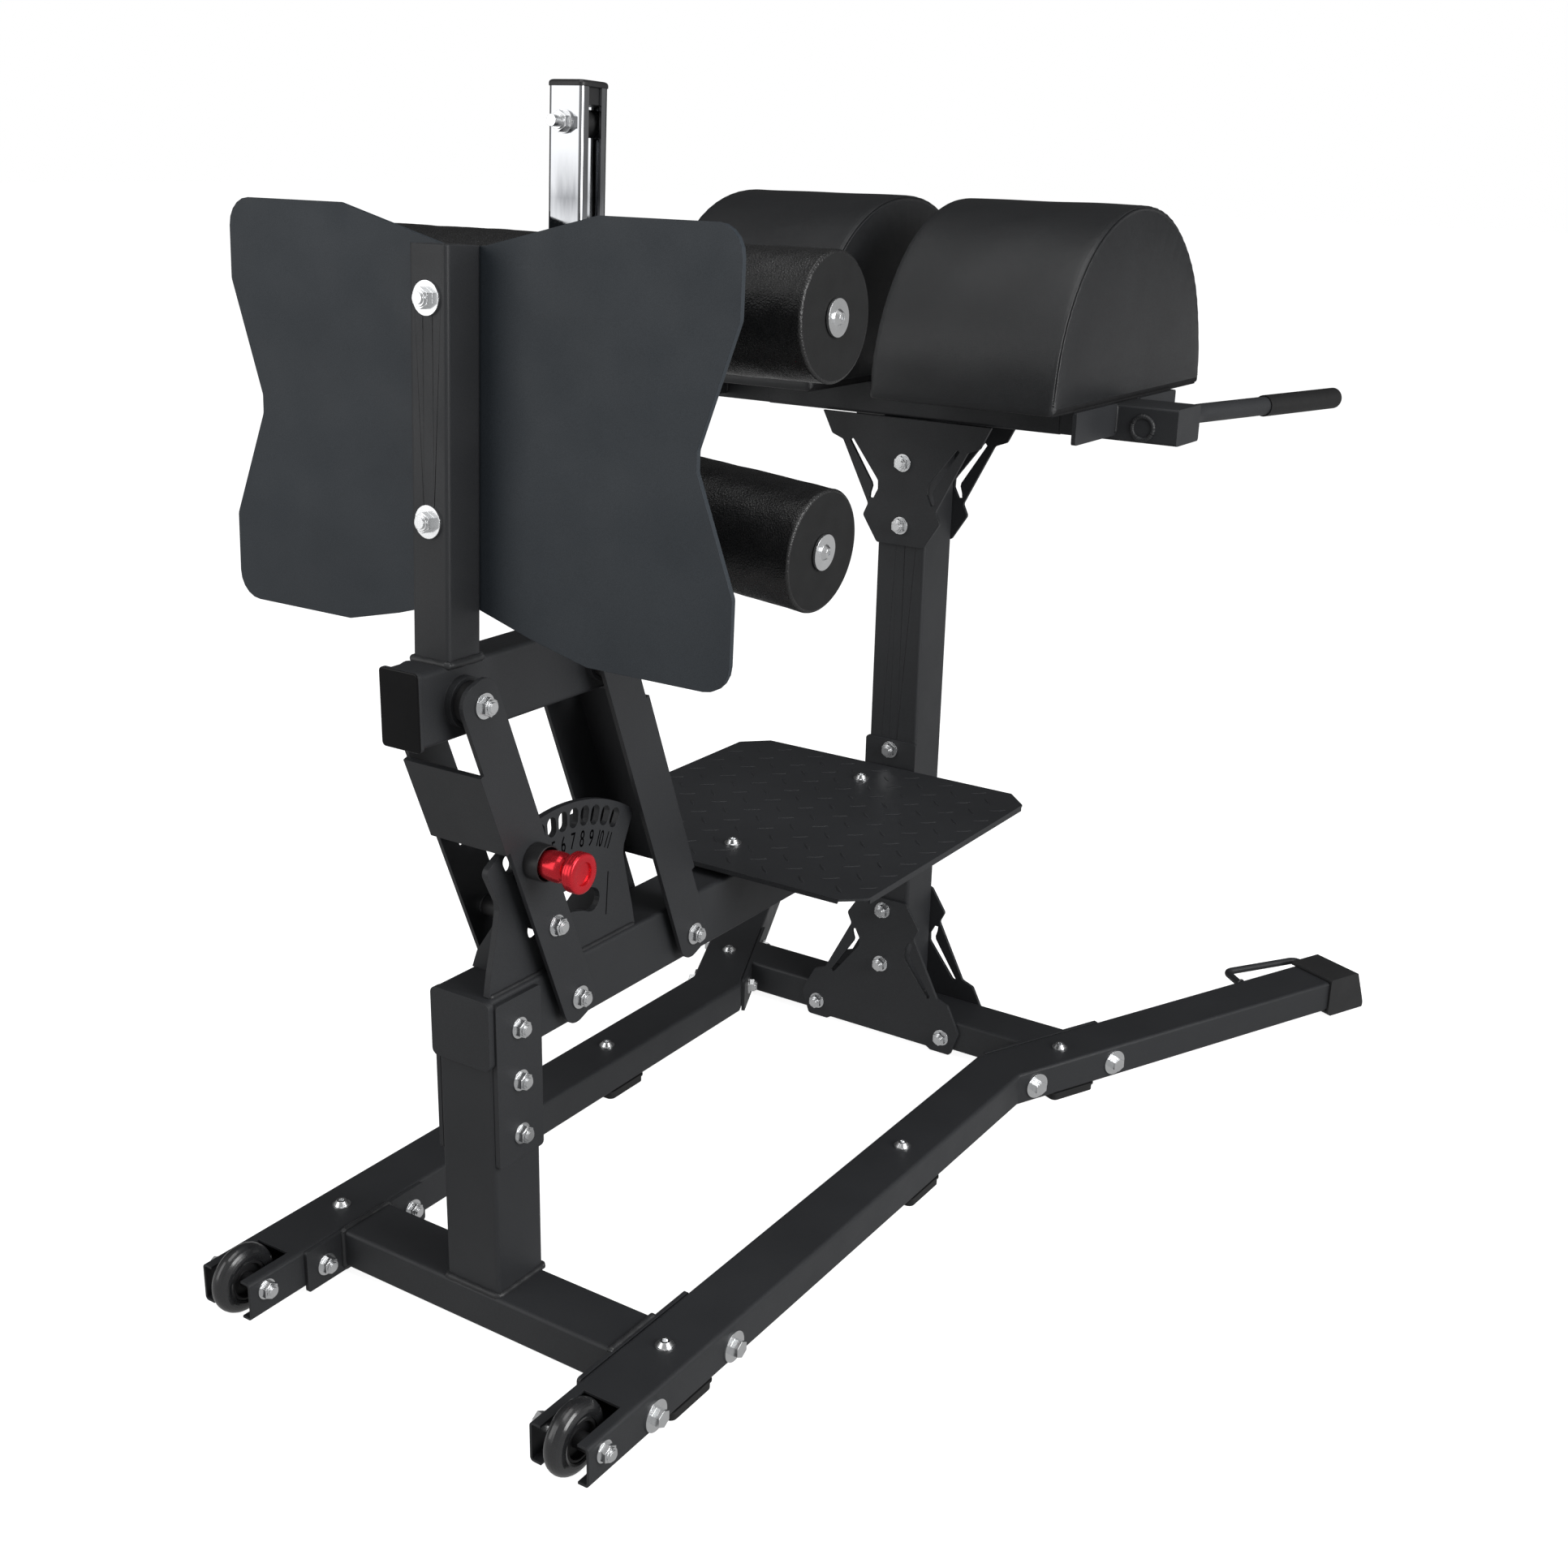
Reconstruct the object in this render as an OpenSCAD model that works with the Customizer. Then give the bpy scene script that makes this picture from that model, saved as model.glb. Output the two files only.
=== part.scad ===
// Glute ham developer. A wheeled floor frame carries a spine with a standing
// platform, a split pair of half-round pads with hand bars at the front, and at
// the rear a footplate and foot rollers on a parallelogram of two links that
// locks on a numbered sector plate.
// Millimetres. +X right, +Y towards the pads, +Z up. The origin is on the floor
// at the middle of the footprint.

/* [Floor frame] */
// Distance from the machine centre to the centre line of a side rail
rail_x = 254; // [250:1:258]
// Width of the flat rail tube
rail_w = 80; // [78:1:82]
// Height of the flat rail tube
rail_h = 50; // [48:1:52]
// Wall of every frame tube
wall = 3; // [2.5:0.5:3.5]
// Distance along the rail from its rear end to the bend
kink_y = 1014; // [1004:1:1020]
// Angle at which the front part of a rail splays outward
splay = 25; // [23:0.5:27]
// Length of the splayed part, from the bend to the tube end
outrigger_len = 700; // [690:1:710]
// Height of the rubber feet under the rails
foot_h = 12; // [10:1:14]
// Side of a square rubber foot
foot_side = 80; // [60:1:80]
// Rear face of the rear crossmember
rear_cross_y = 145; // [142:1:148]
// Rear face of the front crossmember and of the front upright
front_y = 1104; // [1102:1:1106]

/* [Wheels] */
// Outer radius of a transport wheel
wheel_r = 43; // [42:0.5:43.5]
// Width of a transport wheel
wheel_w = 26; // [25:0.5:27]
// Height of the wheel axle above the underside of the rail
axle_z = 32.5; // [32:0.5:34]
// Distance from the rail's rear end to the wheel axle
axle_y = 24.5; // [22:0.5:26]

/* [Spine] */
// Side of the square spine and upright tubes
box_w = 80; // [78:1:82]
// Underside of the spine beam above the underside of the rails
beam_z = 350; // [346:1:354]
// Top of the front upright
upright_top = 966; // [956:1:970]
// Top surface of the standing platform
platform_z = 446; // [446:1:450]
// Half width of the standing platform
platform_hw = 245; // [235:1:255]

/* [Linkage] */
// Distance between the two pivots of a link
link_len = 416; // [414:1:418]
// Distance between the two lower pivots
pivot_gap = 228; // [224:1:232]
// Rear lower pivot, distance from the rail's rear end
pivot_y = 287; // [285:1:289]
// Height of the lower pivots above the underside of the rails
pivot_z = 388; // [386:1:390]
// Lean of the links at the stored position, rearward
link_lean = 21; // [21:1:21]
// Angle between neighbouring slots of the sector plate
slot_step = 5.25; // [5.25:0.25:5.25]
// Thickness of a link plate
link_t = 5.5; // [5:0.5:6]
// Outer face of a link plate, from the machine centre
link_x = 55; // [55:0.5:56]
// Radius of the four pivot bolts
pivot_r = 6; // [5:0.5:6.5]

/* [Foot carrier] */
// Half width of the carrier beam
carrier_hw = 25; // [24:1:25]
// Length of the carrier beam
carrier_len = 327; // [320:1:335]
// Forward lean of the footplate and of the roller post
post_lean = 2.4; // [2:0.2:3]
// Height of the footplate post
foot_post_len = 413; // [408:1:418]
// Thickness of the footplate
footplate_t = 6; // [5:0.5:8]
// Side of the chromed roller post
chrome_w = 45; // [45:0.5:46]
// Height of the chromed roller post above the carrier beam
chrome_len = 564; // [560:1:570]
// Travel of the upper foot rollers along the post
carriage_travel = 120; // [100:5:120]

/* [Foot rollers] */
// Outer radius of a foam roller
roller_r = 65; // [60:1:67]
// Length of a foam roller
roller_len = 293; // [280:1:300]
// Radius of the roller axles
axle_r = 10; // [9:0.5:10]
// Downward tilt of the lower rollers
lower_tilt = 5.1; // [4:0.1:6]

/* [Pads and hand bars] */
// Inner face of a pad, from the machine centre
pad_x0 = 44; // [40:1:50]
// Outer face of a pad, from the machine centre
pad_x1 = 316; // [310:1:322]
// Half length of a pad along the machine
pad_a = 248; // [240:1:255]
// Height of a pad above its mounting face
pad_b = 253; // [245:1:260]
// Middle of the pads, from the rail's rear end
pad_y = 1161; // [1156:1:1166]
// Half length of the pad beam sleeve
sleeve_hw = 237; // [230:1:240]
// End of a pad arm, from the machine centre
arm_x = 406; // [400:1:412]
// Position of a hand bar along its arm
bar_x = 357; // [354:1:360]
// Outer radius of a hand bar
bar_r = 13.5; // [12.5:0.5:13.5]
// Angle at which a hand bar bends outward
bar_splay = 16.2; // [14:0.2:18]

/* [Hidden] */

// Rubber end cap, measured along the splayed tube
cap_s0 = outrigger_len - 41;
cap_top = outrigger_len + 22;
cap_tip = outrigger_len + 45;
cap_hw = rail_w / 2 + 4;
// Middle of the footprint, in the rail's own measure
y_far = kink_y + sin(splay) * cap_hw + cos(splay) * cap_tip - 2.1;
y_near = axle_y - wheel_r;
y_mid = (y_far + y_near) / 2;
beam_top = beam_z + box_w;
box_hw = box_w / 2;
beam_y0 = 152;
flange_y = front_y - 5;
upright_y = 150;
link_in = link_x - link_t;
front_pivot_y = pivot_y + pivot_gap;
top_dy = -link_len * sin(link_lean);
top_dz = link_len * cos(link_lean);
top_y = pivot_y + top_dy;
top_z = pivot_z + top_dz;
carrier_y0 = top_y - 65;
carrier_z0 = top_z - 39.4;
carrier_z1 = top_z + 40.6;
// Reference height of the two leaning posts
post_z = top_z + 43.6;
foot_post_y = top_y - 18.4;
chrome_y = top_y + 187.1;
axle_s = 353;
stop_s = 529;
// Radius of the spring pin
pin_r = 7;
lower_s = 147.5;
run_fit = 0.05;

// ---------- shared shapes ----------

function arc(cx, cy, r, a0, a1, n) =
    [for (i = [0:n]) let (a = a0 + (a1 - a0) * i / n) [cx + r * cos(a), cy + r * sin(a)]];

function rrect(w, h, r, n = 5) = concat(
    arc(w/2 - r, h/2 - r, r, 0, 90, n), arc(-w/2 + r, h/2 - r, r, 90, 180, n),
    arc(-w/2 + r, -h/2 + r, r, 180, 270, n), arc(w/2 - r, -h/2 + r, r, 270, 360, n));

// Rounds one corner of an outline
function corner(p0, p1, p2, r, n) =
    let (a = (p0 - p1) / norm(p0 - p1), b = (p2 - p1) / norm(p2 - p1),
         h = acos(max(-1, min(1, a * b))) / 2)
    h > 86 ? [p1] :
    let (d = min(r / tan(h), 0.45 * min(norm(p0 - p1), norm(p2 - p1))),
         q = d * tan(h), m = (a + b) / norm(a + b), c = p1 + m * (q / sin(h)),
         s = p1 + a * d - c, e = p1 + b * d - c,
         a0 = atan2(s[1], s[0]), t = atan2(e[1], e[0]) - a0,
         w = t > 180 ? t - 360 : (t < -180 ? t + 360 : t))
    [for (i = [0:n]) c + q * [cos(a0 + w * i / n), sin(a0 + w * i / n)]];

function rounded(p, r, n = 4) = rounded_each([for (q = p) [q[0], q[1], r]], n);

// The same with a radius of its own for every corner
function rounded_each(p, n = 5) = [for (i = [0:len(p) - 1])
    let (a = p[(i + len(p) - 1) % len(p)], b = p[i], c = p[(i + 1) % len(p)])
    each corner([a[0], a[1]], [b[0], b[1]], [c[0], c[1]], b[2], n)];
// Right half of an outline, from its top middle clockwise, made whole
function both_halves(h) = concat(h, [for (i = [len(h) - 1:-1:0]) if (h[i][0] > 0.01) [-h[i][0], h[i][1], h[i][2]]]);

module place() { translate([0, -y_mid, foot_h]) children(); }
module pair() { children(); mirror([1, 0, 0]) children(); }
module outrig() { translate([rail_x, kink_y, 0]) rotate([0, 0, -splay]) children(); }
module in_link(y, lean) { translate([0, y, pivot_z]) rotate([lean, 0, 0]) children(); }
module in_foot_post() { translate([0, foot_post_y, post_z]) rotate([-post_lean, 0, 0]) children(); }
module in_chrome() { translate([0, chrome_y, post_z]) rotate([-post_lean, 0, 0]) children(); }

// Hollow tube with rounded corners, along +Z
module tube(w, h, len, t = wall, r = 5) {
    linear_extrude(len) difference() {
        polygon(rrect(w, h, r));
        polygon(rrect(w - 2 * t, h - 2 * t, max(r - t, 1)));
    }
}
module tube_y(w, h, y0, y1, t = wall, r = 5) { translate([0, y0, 0]) rotate([-90, 0, 0]) tube(w, h, y1 - y0, t, r); }
module tube_x(w, h, x0, x1, t = wall, r = 5) { translate([x0, 0, 0]) rotate([90, 0, 90]) tube(w, h, x1 - x0, t, r); }
// Flat plates: the outline is (Y, Z) for plate_x and (X, Z) for plate_y
module plate_x(x0, t) { translate([x0, 0, 0]) rotate([90, 0, 90]) linear_extrude(t) children(); }
module plate_y(y0, t) { translate([0, y0 + t, 0]) rotate([90, 0, 0]) linear_extrude(t) children(); }
module rod_x(r, x0, x1) { translate([x0, 0, 0]) rotate([0, 90, 0]) cylinder(r = r, h = x1 - x0, $fn = 48); }
module rod_y(r, y0, y1) { translate([0, y0, 0]) rotate([-90, 0, 0]) cylinder(r = r, h = y1 - y0, $fn = 48); }
module hex_x(af, x0, x1) { translate([x0, 0, 0]) rotate([0, 90, 0]) cylinder(d = af / cos(30), h = x1 - x0, $fn = 6); }
module slot_2d(w, len) { polygon(concat(arc(0, len/2 - w/2, w/2, 0, 180, 10), arc(0, -len/2 + w/2, w/2, 180, 360, 10))); }

// Hex bolt along X. The clamped parts reach from x_nut to x_head.
module bolt(r, x_nut, x_head, wr = 12.7, wt = 2, shank_end = 2, head = 0, nut_wr = 0) {
    af = r * 3.1;
    rod_x(r, x_nut - wt - r * 1.7 - shank_end, x_head + wt + 1);
    difference() {
        union() {
            rod_x(wr, x_head, x_head + wt);
            hex_x(af, x_head + wt, x_head + wt + (head > 0 ? head : r * 1.25));
            rod_x(nut_wr > 0 ? nut_wr : wr, x_nut - wt, x_nut);
            hex_x(af, x_nut - wt - r * 1.3, x_nut - wt);
            rod_x(af * 0.44, x_nut - wt - r * 1.7, x_nut - wt - r * 1.3);
        }
        rod_x(r - 0.01, x_nut - 40, x_head + wt + 0.5);
    }
}
module nut_right() { mirror([1, 0, 0]) children(); }
// The same bolt along Y with its nut at the rear
module bolt_y(x, z, y_nut, y_head, r = 6, wr = 12.7) {
    translate([x, 0, z]) rotate([0, 0, 90]) bolt(r, y_nut, y_head, wr);
}

// ---------- floor frame ----------

cross_flange = [85, 288];
rear_bolt_y = [114, 264];
rear_bolt_z = 20.5;
out_bolt_s = [42, 193];
side_hole_z = 20;
foot_y = [187, 727];
out_foot_s = 118;

module rail() {
    difference() {
        union() {
            intersection() {
                translate([rail_x, 0, rail_h/2]) tube_y(rail_w, rail_h, 0, kink_y + 40);
                translate([rail_x, kink_y, 0]) rotate([0, 0, -splay/2]) translate([-300, -1300, -20]) cube([600, 1300, 120]);
            }
            intersection() {
                outrig() translate([0, 0, rail_h/2]) tube_y(rail_w - 0.04, rail_h - 0.04, -40, outrigger_len);
                translate([rail_x, kink_y, 0]) rotate([0, 0, -splay/2]) translate([-400, -0.03, -20]) cube([800, 900, 120]);
            }
        }
        // wheel slot
        translate([rail_x - 25, -1, -1]) cube([50, 74, rail_h + 2]);
        translate([0, axle_y, axle_z]) rod_x(6.3, rail_x - 60, rail_x + 60);
        for (y = rear_bolt_y) translate([0, y, rear_bolt_z]) rod_x(6.4, rail_x - 60, rail_x + 60);
        outrig() for (s = out_bolt_s) translate([0, s, rail_h/2]) rod_x(6.4, -60, 60);
        for (y = foot_y) translate([rail_x, y, -1]) cylinder(r = 4.5, h = rail_h + 2, $fn = 32);
        outrig() translate([0, out_foot_s, -1]) cylinder(r = 4.5, h = rail_h + 2, $fn = 32);
    }
}
module rail_right() { color([0.20, 0.205, 0.21]) place() rail(); }
module rail_left() { color([0.20, 0.205, 0.21]) place() mirror([1, 0, 0]) rail(); }

module rear_crossmember() {
    color([0.20, 0.205, 0.21]) place() difference() {
        union() {
            translate([0, rear_cross_y + rail_w/2, rail_h/2]) tube_x(rail_w, rail_h, -(rail_x - rail_w/2 - 5), rail_x - rail_w/2 - 5);
            pair() plate_x(rail_x - rail_w/2 - 5, 5)
                translate([(cross_flange[0] + cross_flange[1])/2, 21.75]) polygon(rrect(cross_flange[1] - cross_flange[0], 55.5, 4));
        }
        for (y = rear_bolt_y) translate([0, y, rear_bolt_z]) rod_x(6.4, -300, 300);
    }
}

module front_crossmember() {
    color([0.20, 0.205, 0.21]) place() difference() {
        union() {
            intersection() {
                translate([0, front_y + rail_w/2, rail_h/2]) tube_x(rail_w, rail_h, -360, 360);
                pair() translate([rail_x, kink_y, 0]) rotate([0, 0, -splay]) translate([-rail_w/2 - 5 - 700, -400, -20]) cube([700, 1000, 120]);
                mirror([1, 0, 0]) translate([rail_x, kink_y, 0]) rotate([0, 0, -splay]) translate([-rail_w/2 - 5 - 900, -500, -20]) cube([900, 1200, 120]);
                translate([rail_x, kink_y, 0]) rotate([0, 0, -splay]) translate([-rail_w/2 - 5 - 900, -500, -20]) cube([900, 1200, 120]);
            }
            pair() outrig() plate_x(-rail_w/2 - 5, 5) translate([117.5, 22]) polygon(rrect(223, 56, 4));
        }
        pair() outrig() for (s = out_bolt_s) translate([0, s, rail_h/2]) rod_x(6.4, -60, 60);
        for (x = [-114, 114]) translate([x, 0, side_hole_z]) rod_y(6.4, front_y - 10, front_y + rail_w + 10);
    }
}

module rail_feet() {
    color([0.07, 0.07, 0.07]) place() pair() {
        for (y = foot_y) translate([rail_x, y, 0]) foot();
        outrig() translate([0, out_foot_s, 0]) foot();
    }
}
module foot() {
    difference() {
        union() {
            translate([0, 0, -foot_h]) linear_extrude(foot_h - 3) polygon(rrect(foot_side - 2, foot_side - 2, 8));
            translate([0, 0, -3]) linear_extrude(3) polygon(rrect(foot_side, foot_side, 6));
        }
        translate([0, 0, -6]) cylinder(r = 4.4, h = 10, $fn = 32);
    }
}
module foot_screw() {
    translate([0, 0, -5]) cylinder(r = 4, h = rail_h + 6, $fn = 32);
    difference() {
        union() {
            translate([0, 0, rail_h]) cylinder(r = 11.5, h = 1.6, $fn = 48);
            translate([0, 0, rail_h + 1.6]) cylinder(r1 = 10, r2 = 6, h = 5.4, $fn = 48);
        }
        translate([0, 0, rail_h - 1]) cylinder(r = 3.9, h = 1.5, $fn = 32);
        translate([0, 0, rail_h + 3]) cylinder(r = 3.4, h = 6, $fn = 6);
    }
}
module foot_screws() {
    color([0.75, 0.76, 0.78]) place() pair() {
        for (y = foot_y) translate([rail_x, y, 0]) foot_screw();
        outrig() translate([0, out_foot_s, 0]) foot_screw();
    }
}

module end_caps() {
    color([0.13, 0.13, 0.135]) place() pair() outrig() difference() {
        intersection() {
            plate_x(-cap_hw, 2 * cap_hw)
                polygon(rounded([[cap_s0, rail_h + 6], [cap_top, rail_h + 6], [cap_tip, 3 - foot_h], [cap_s0 + 6, 3 - foot_h], [cap_s0, 8 - foot_h]], 4));
            translate([0, 0, -20]) linear_extrude(120)
                polygon(rounded([[-cap_hw, cap_s0 - 5], [cap_hw, cap_s0 - 5], [cap_hw, cap_tip], [-cap_hw, cap_tip]], 5));
        }
        translate([-rail_w/2 - 0.3, cap_s0 - 1, -0.3]) cube([rail_w + 0.6, outrigger_len - cap_s0 + 1.5, rail_h + 0.6]);
        // notch for the end of the lifting loop
        translate([-52, cap_s0 - 8, 37.8]) cube([11.9, 46.5, 12.4]);
    }
}

// Lifting loop of bent round bar, from above in the outrigger's own measure
loop_r = 5.75;
loop_z = 44;
loop_pts = [[-38, 535.4], [-86, 550], [-64, 686], [-38, 690.3]];
loop_bend = 12;
module loop_bar() {
    a = [for (i = [0:2]) atan2(loop_pts[i + 1][1] - loop_pts[i][1], loop_pts[i + 1][0] - loop_pts[i][0])];
    // length taken up by the bend at each corner
    t = [0, loop_bend * tan((a[0] - a[1]) / 2), loop_bend * tan((a[1] - a[2]) / 2), 0];
    outrig() {
        difference() {
            for (i = [0:2]) translate([loop_pts[i][0], loop_pts[i][1], loop_z]) rotate([0, 0, a[i]])
                rod_x(loop_r, t[i] - 0.2, norm(loop_pts[i + 1] - loop_pts[i]) - t[i + 1] + 0.2);
            translate([-rail_w/2, 500, 0]) cube([60, 240, 80]);
        }
        for (i = [1, 2]) translate([loop_pts[i][0], loop_pts[i][1], loop_z]) rotate([0, 0, a[i - 1]]) translate([-t[i], -loop_bend, 0])
            rotate([0, 0, 90 - a[i - 1] + a[i]]) rotate_extrude(angle = a[i - 1] - a[i], $fn = 96) translate([loop_bend, 0]) rotate(45) circle(r = loop_r - 0.05, $fn = 48);
    }
}
module floor_handles() { color([0.20, 0.205, 0.21]) place() pair() loop_bar(); }

module base_bolts() {
    color([0.75, 0.76, 0.78]) place() pair() {
        for (y = rear_bolt_y) translate([0, y, rear_bolt_z]) bolt(6, rail_x - rail_w/2 - 5, rail_x + rail_w/2, 19, 3, 2, 10, 14);
        outrig() for (s = out_bolt_s) translate([0, s, rail_h/2]) bolt(6, -rail_w/2 - 5, rail_w/2, 19, 3, 2, 10, 14);
    }
}

module wheel_axles() {
    color([0.75, 0.76, 0.78]) place() for (m = [-1, 1]) translate([m * rail_x, axle_y, axle_z]) {
        nut_right() bolt(6, -rail_w/2, rail_w/2, 12.7, 2, 2);
        // spacers between the hub and the walls of the rail
        for (k = [0, 1]) mirror([k, 0, 0]) rod_x(10, 25, rail_w/2 - wall);
    }
}
// The tyre is round in section and moulded onto the hub
tyre_round = wheel_w/2 - 0.2;
hub_r = wheel_r - tyre_round * (1 - cos(114)) - 0.1;
module wheel_hub() {
    translate([rail_x, axle_y, axle_z]) difference() {
        union() {
            rod_x(hub_r, -wheel_w/2 + 2, wheel_w/2 - 2);
            rod_x(10, -24.5, 24.5);
        }
        rod_x(6 + run_fit, -40, 40);
        for (m = [0, 1]) mirror([m, 0, 0]) difference() { rod_x(hub_r - 4, wheel_w/2 - 8, wheel_w/2); rod_x(10, 0, wheel_w); }
    }
}
module wheel_tyre() {
    translate([rail_x, axle_y, axle_z]) rotate([0, 90, 0]) rotate_extrude($fn = 72)
        polygon(arc(wheel_r - tyre_round, 0, tyre_round, 114, -114, 16));
}
module hub_right() { color([0.06, 0.06, 0.06]) place() wheel_hub(); }
module hub_left() { color([0.06, 0.06, 0.06]) place() mirror([1, 0, 0]) wheel_hub(); }
module tyre_right() { color([0.18, 0.185, 0.19]) place() wheel_tyre(); }
module tyre_left() { color([0.18, 0.185, 0.19]) place() mirror([1, 0, 0]) wheel_tyre(); }

// ---------- spine and uprights ----------

side_bolt_z = [251, 319, 385];
side_bolt_y = 190;
flange_bolt_z = [322, 470];
lower_bolt_z = [116, 207];
upper_bolt_z = [812, 903];

module rear_upright() {
    color([0.20, 0.205, 0.21]) place() difference() {
        translate([0, upright_y + box_hw, rail_h]) tube(box_w, box_w, beam_z - rail_h);
        for (z = [side_bolt_z[0], side_bolt_z[1]]) translate([0, side_bolt_y, z]) rod_x(6.4, -60, 60);
    }
}
module side_plates() {
    color([0.20, 0.205, 0.21]) place() difference() {
        pair() plate_x(box_hw, 6) translate([190.5, 321.5]) polygon(rrect(77, 205, 5));
        for (z = side_bolt_z) translate([0, side_bolt_y, z]) rod_x(6.4, -60, 60);
    }
}

module main_beam() {
    color([0.20, 0.205, 0.21]) place() difference() {
        union() {
            translate([0, 0, beam_z + box_hw]) tube_y(box_w, box_w, beam_y0, flange_y);
            // closed, rounded rear end
            plate_y(beam_y0 - 9, 9) translate([0, beam_top - 42]) polygon(rrect(86, 85, 8));
            // front flange
            plate_y(flange_y, 5) translate([0, beam_z + box_hw]) polygon(rrect(86, 192, 5));
            // cross bars under the platform
            for (y = [680, 1015]) translate([-205, y - 22, beam_top]) cube([410, 44, platform_z - 3 - beam_top]);
        }
        for (y = [pivot_y, front_pivot_y]) translate([0, y, pivot_z]) rod_x(pivot_r + 0.2, -60, 60);
        translate([0, side_bolt_y, side_bolt_z[2]]) rod_x(6.4, -60, 60);
        // the rear end plate stands on the upright's top
        translate([-60, upright_y - 0.3, beam_z - 20]) cube([120, 20, 20]);
        for (z = flange_bolt_z) translate([0, 0, z]) rod_y(6.4, flange_y - 5, flange_y + 10);
        for (y = [680, 1015]) translate([0, y, beam_top - 10]) cylinder(r = 5.3, h = 40, $fn = 32);
    }
}

// Sector plate, outline and slots measured from the rear lower pivot
sector_x = 26;
sector_t = 8;
sector_r = 231;
slot_r = 212;
// The spring pin rests in the lower round end of its slot
pin_s = slot_r - 4.5;
stop_r = 112;
kidney_half = 26.8;
kidney_r = 14.5;
sector_base = beam_top - pivot_z;
sector_half = concat([for (t = [0:3:30]) [sector_r * sin(t), sector_r * cos(t), 1]],
    [[131, 190, 9], [112, 151, 16], [110.5, 141, 14], [115, 118, 20], [121, 93, 20], [127, 70, 20], [132.5, sector_base, 1]]);
module sector_plate() {
    color([0.20, 0.205, 0.21]) place() translate([0, pivot_y, pivot_z]) {
        plate_x(sector_x, sector_t) difference() {
            polygon(rounded_each(both_halves(sector_half), 6));
            for (i = [1:11]) rotate(link_lean - slot_step * (i - 2)) translate([0, slot_r]) slot_2d(2 * pin_r + 1, 24);
            polygon(concat(
                arc(0, 0, stop_r + kidney_r, 90 + kidney_half, 90 - kidney_half, 20),
                arc(stop_r * sin(kidney_half), stop_r * cos(kidney_half), kidney_r, 90 - kidney_half, -90 - kidney_half, 8),
                arc(0, 0, stop_r - kidney_r, 90 - kidney_half, 90 + kidney_half, 20),
                arc(-stop_r * sin(kidney_half), stop_r * cos(kidney_half), kidney_r, 270 + kidney_half, 90 + kidney_half, 8)));
            translate([79, 99]) rotate(-5) square([2, 54], center = true);
        }
        // two ribs that brace the plate on the beam
        for (y = [-77, 74]) plate_y(y, 5) polygon([[-box_hw, sector_base], [-32, sector_base + 22], [sector_x + 0.5, 150], [sector_x + 0.5, sector_base]]);
    }
}

module platform() {
    h = platform_hw;
    outline = [[-h + 29, 597], [h - 29, 597], [h - 5, 617], [h, 622], [h, 1055], [h - 35, 1090], [-h + 35, 1090], [-h, 1055], [-h, 622], [-h + 5, 617]];
    color([0.20, 0.205, 0.21]) place() difference() {
        union() {
            translate([0, 0, platform_z - 3]) linear_extrude(3) polygon(rounded(outline, 3));
            // bent-down edges
            translate([-h + 31, 597, platform_z - 6.5]) cube([2 * h - 62, 3, 4.5]);
            translate([-h + 37, 1087, platform_z - 6.5]) cube([2 * h - 74, 3, 4.5]);
            for (x = [-h, h - 3]) translate([x, 626, platform_z - 8.5]) cube([3, 426, 6.5]);
        }
        for (y = [680, 1015]) translate([0, y, platform_z - 20]) cylinder(r = 5.3, h = 40, $fn = 32);
    }
}
module platform_screw() {
    translate([0, 0, -30]) cylinder(r = 5, h = 32, $fn = 32);
    difference() {
        union() {
            cylinder(r = 11.5, h = 2, $fn = 48);
            translate([0, 0, 2]) cylinder(r1 = 9, r2 = 6, h = 5, $fn = 48);
        }
        translate([0, 0, -1]) cylinder(r = 4.9, h = 2, $fn = 32);
        translate([0, 0, 4]) cylinder(r = 3.5, h = 4, $fn = 6);
    }
}

module front_upright() {
    color([0.20, 0.205, 0.21]) place() difference() {
        translate([0, front_y + box_hw, rail_h]) tube(box_w, box_w, upright_top - rail_h);
        for (z = concat(lower_bolt_z, flange_bolt_z, upper_bolt_z)) translate([0, 0, z]) rod_y(6.4, front_y - 10, front_y + box_w + 10);
    }
}

// Gusset outline: X and distance from its narrow end
gusset_low = 226;
gusset_high = upright_top - 183;
module gusset_2d(middle, side) {
    difference() {
        polygon(rounded(both_halves([[0, 0], [39, 0], [64, 38], [56, 55], [102, 144], [121, 151], [137, 182], [143, 195], [130, 232.6], [95, 232.6], [88, 228], [0, 228]]), 6));
        for (m = [1, -1]) scale([m, 1]) polygon([[48, 63], [54, 63.5], [53.3, 71], [50.3, 81], [51.5, 86], [90, 144], [87, 147.5], [84, 146], [43, 93.5], [40.8, 90], [40.3, 78]]);
        for (h = middle) translate([0, h]) circle(r = 6.4, $fn = 32);
        for (h = side, x = [-114, 114]) translate([x, h]) circle(r = 6.4, $fn = 32);
    }
}
module lower_gussets() {
    color([0.20, 0.205, 0.21]) place() for (y = [flange_y, front_y + box_w])
        plate_y(y, 5) translate([0, gusset_low]) mirror([0, 1]) gusset_2d([for (z = lower_bolt_z) gusset_low - z], [gusset_low - side_hole_z]);
}
module upper_gussets() {
    color([0.20, 0.205, 0.21]) place() for (y = [flange_y, front_y + box_w])
        plate_y(y, 5) translate([0, gusset_high]) intersection() {
            gusset_2d([for (z = upper_bolt_z) z - gusset_high], []);
            translate([-200, -1]) square([400, 183.8]);
        }
}

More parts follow.
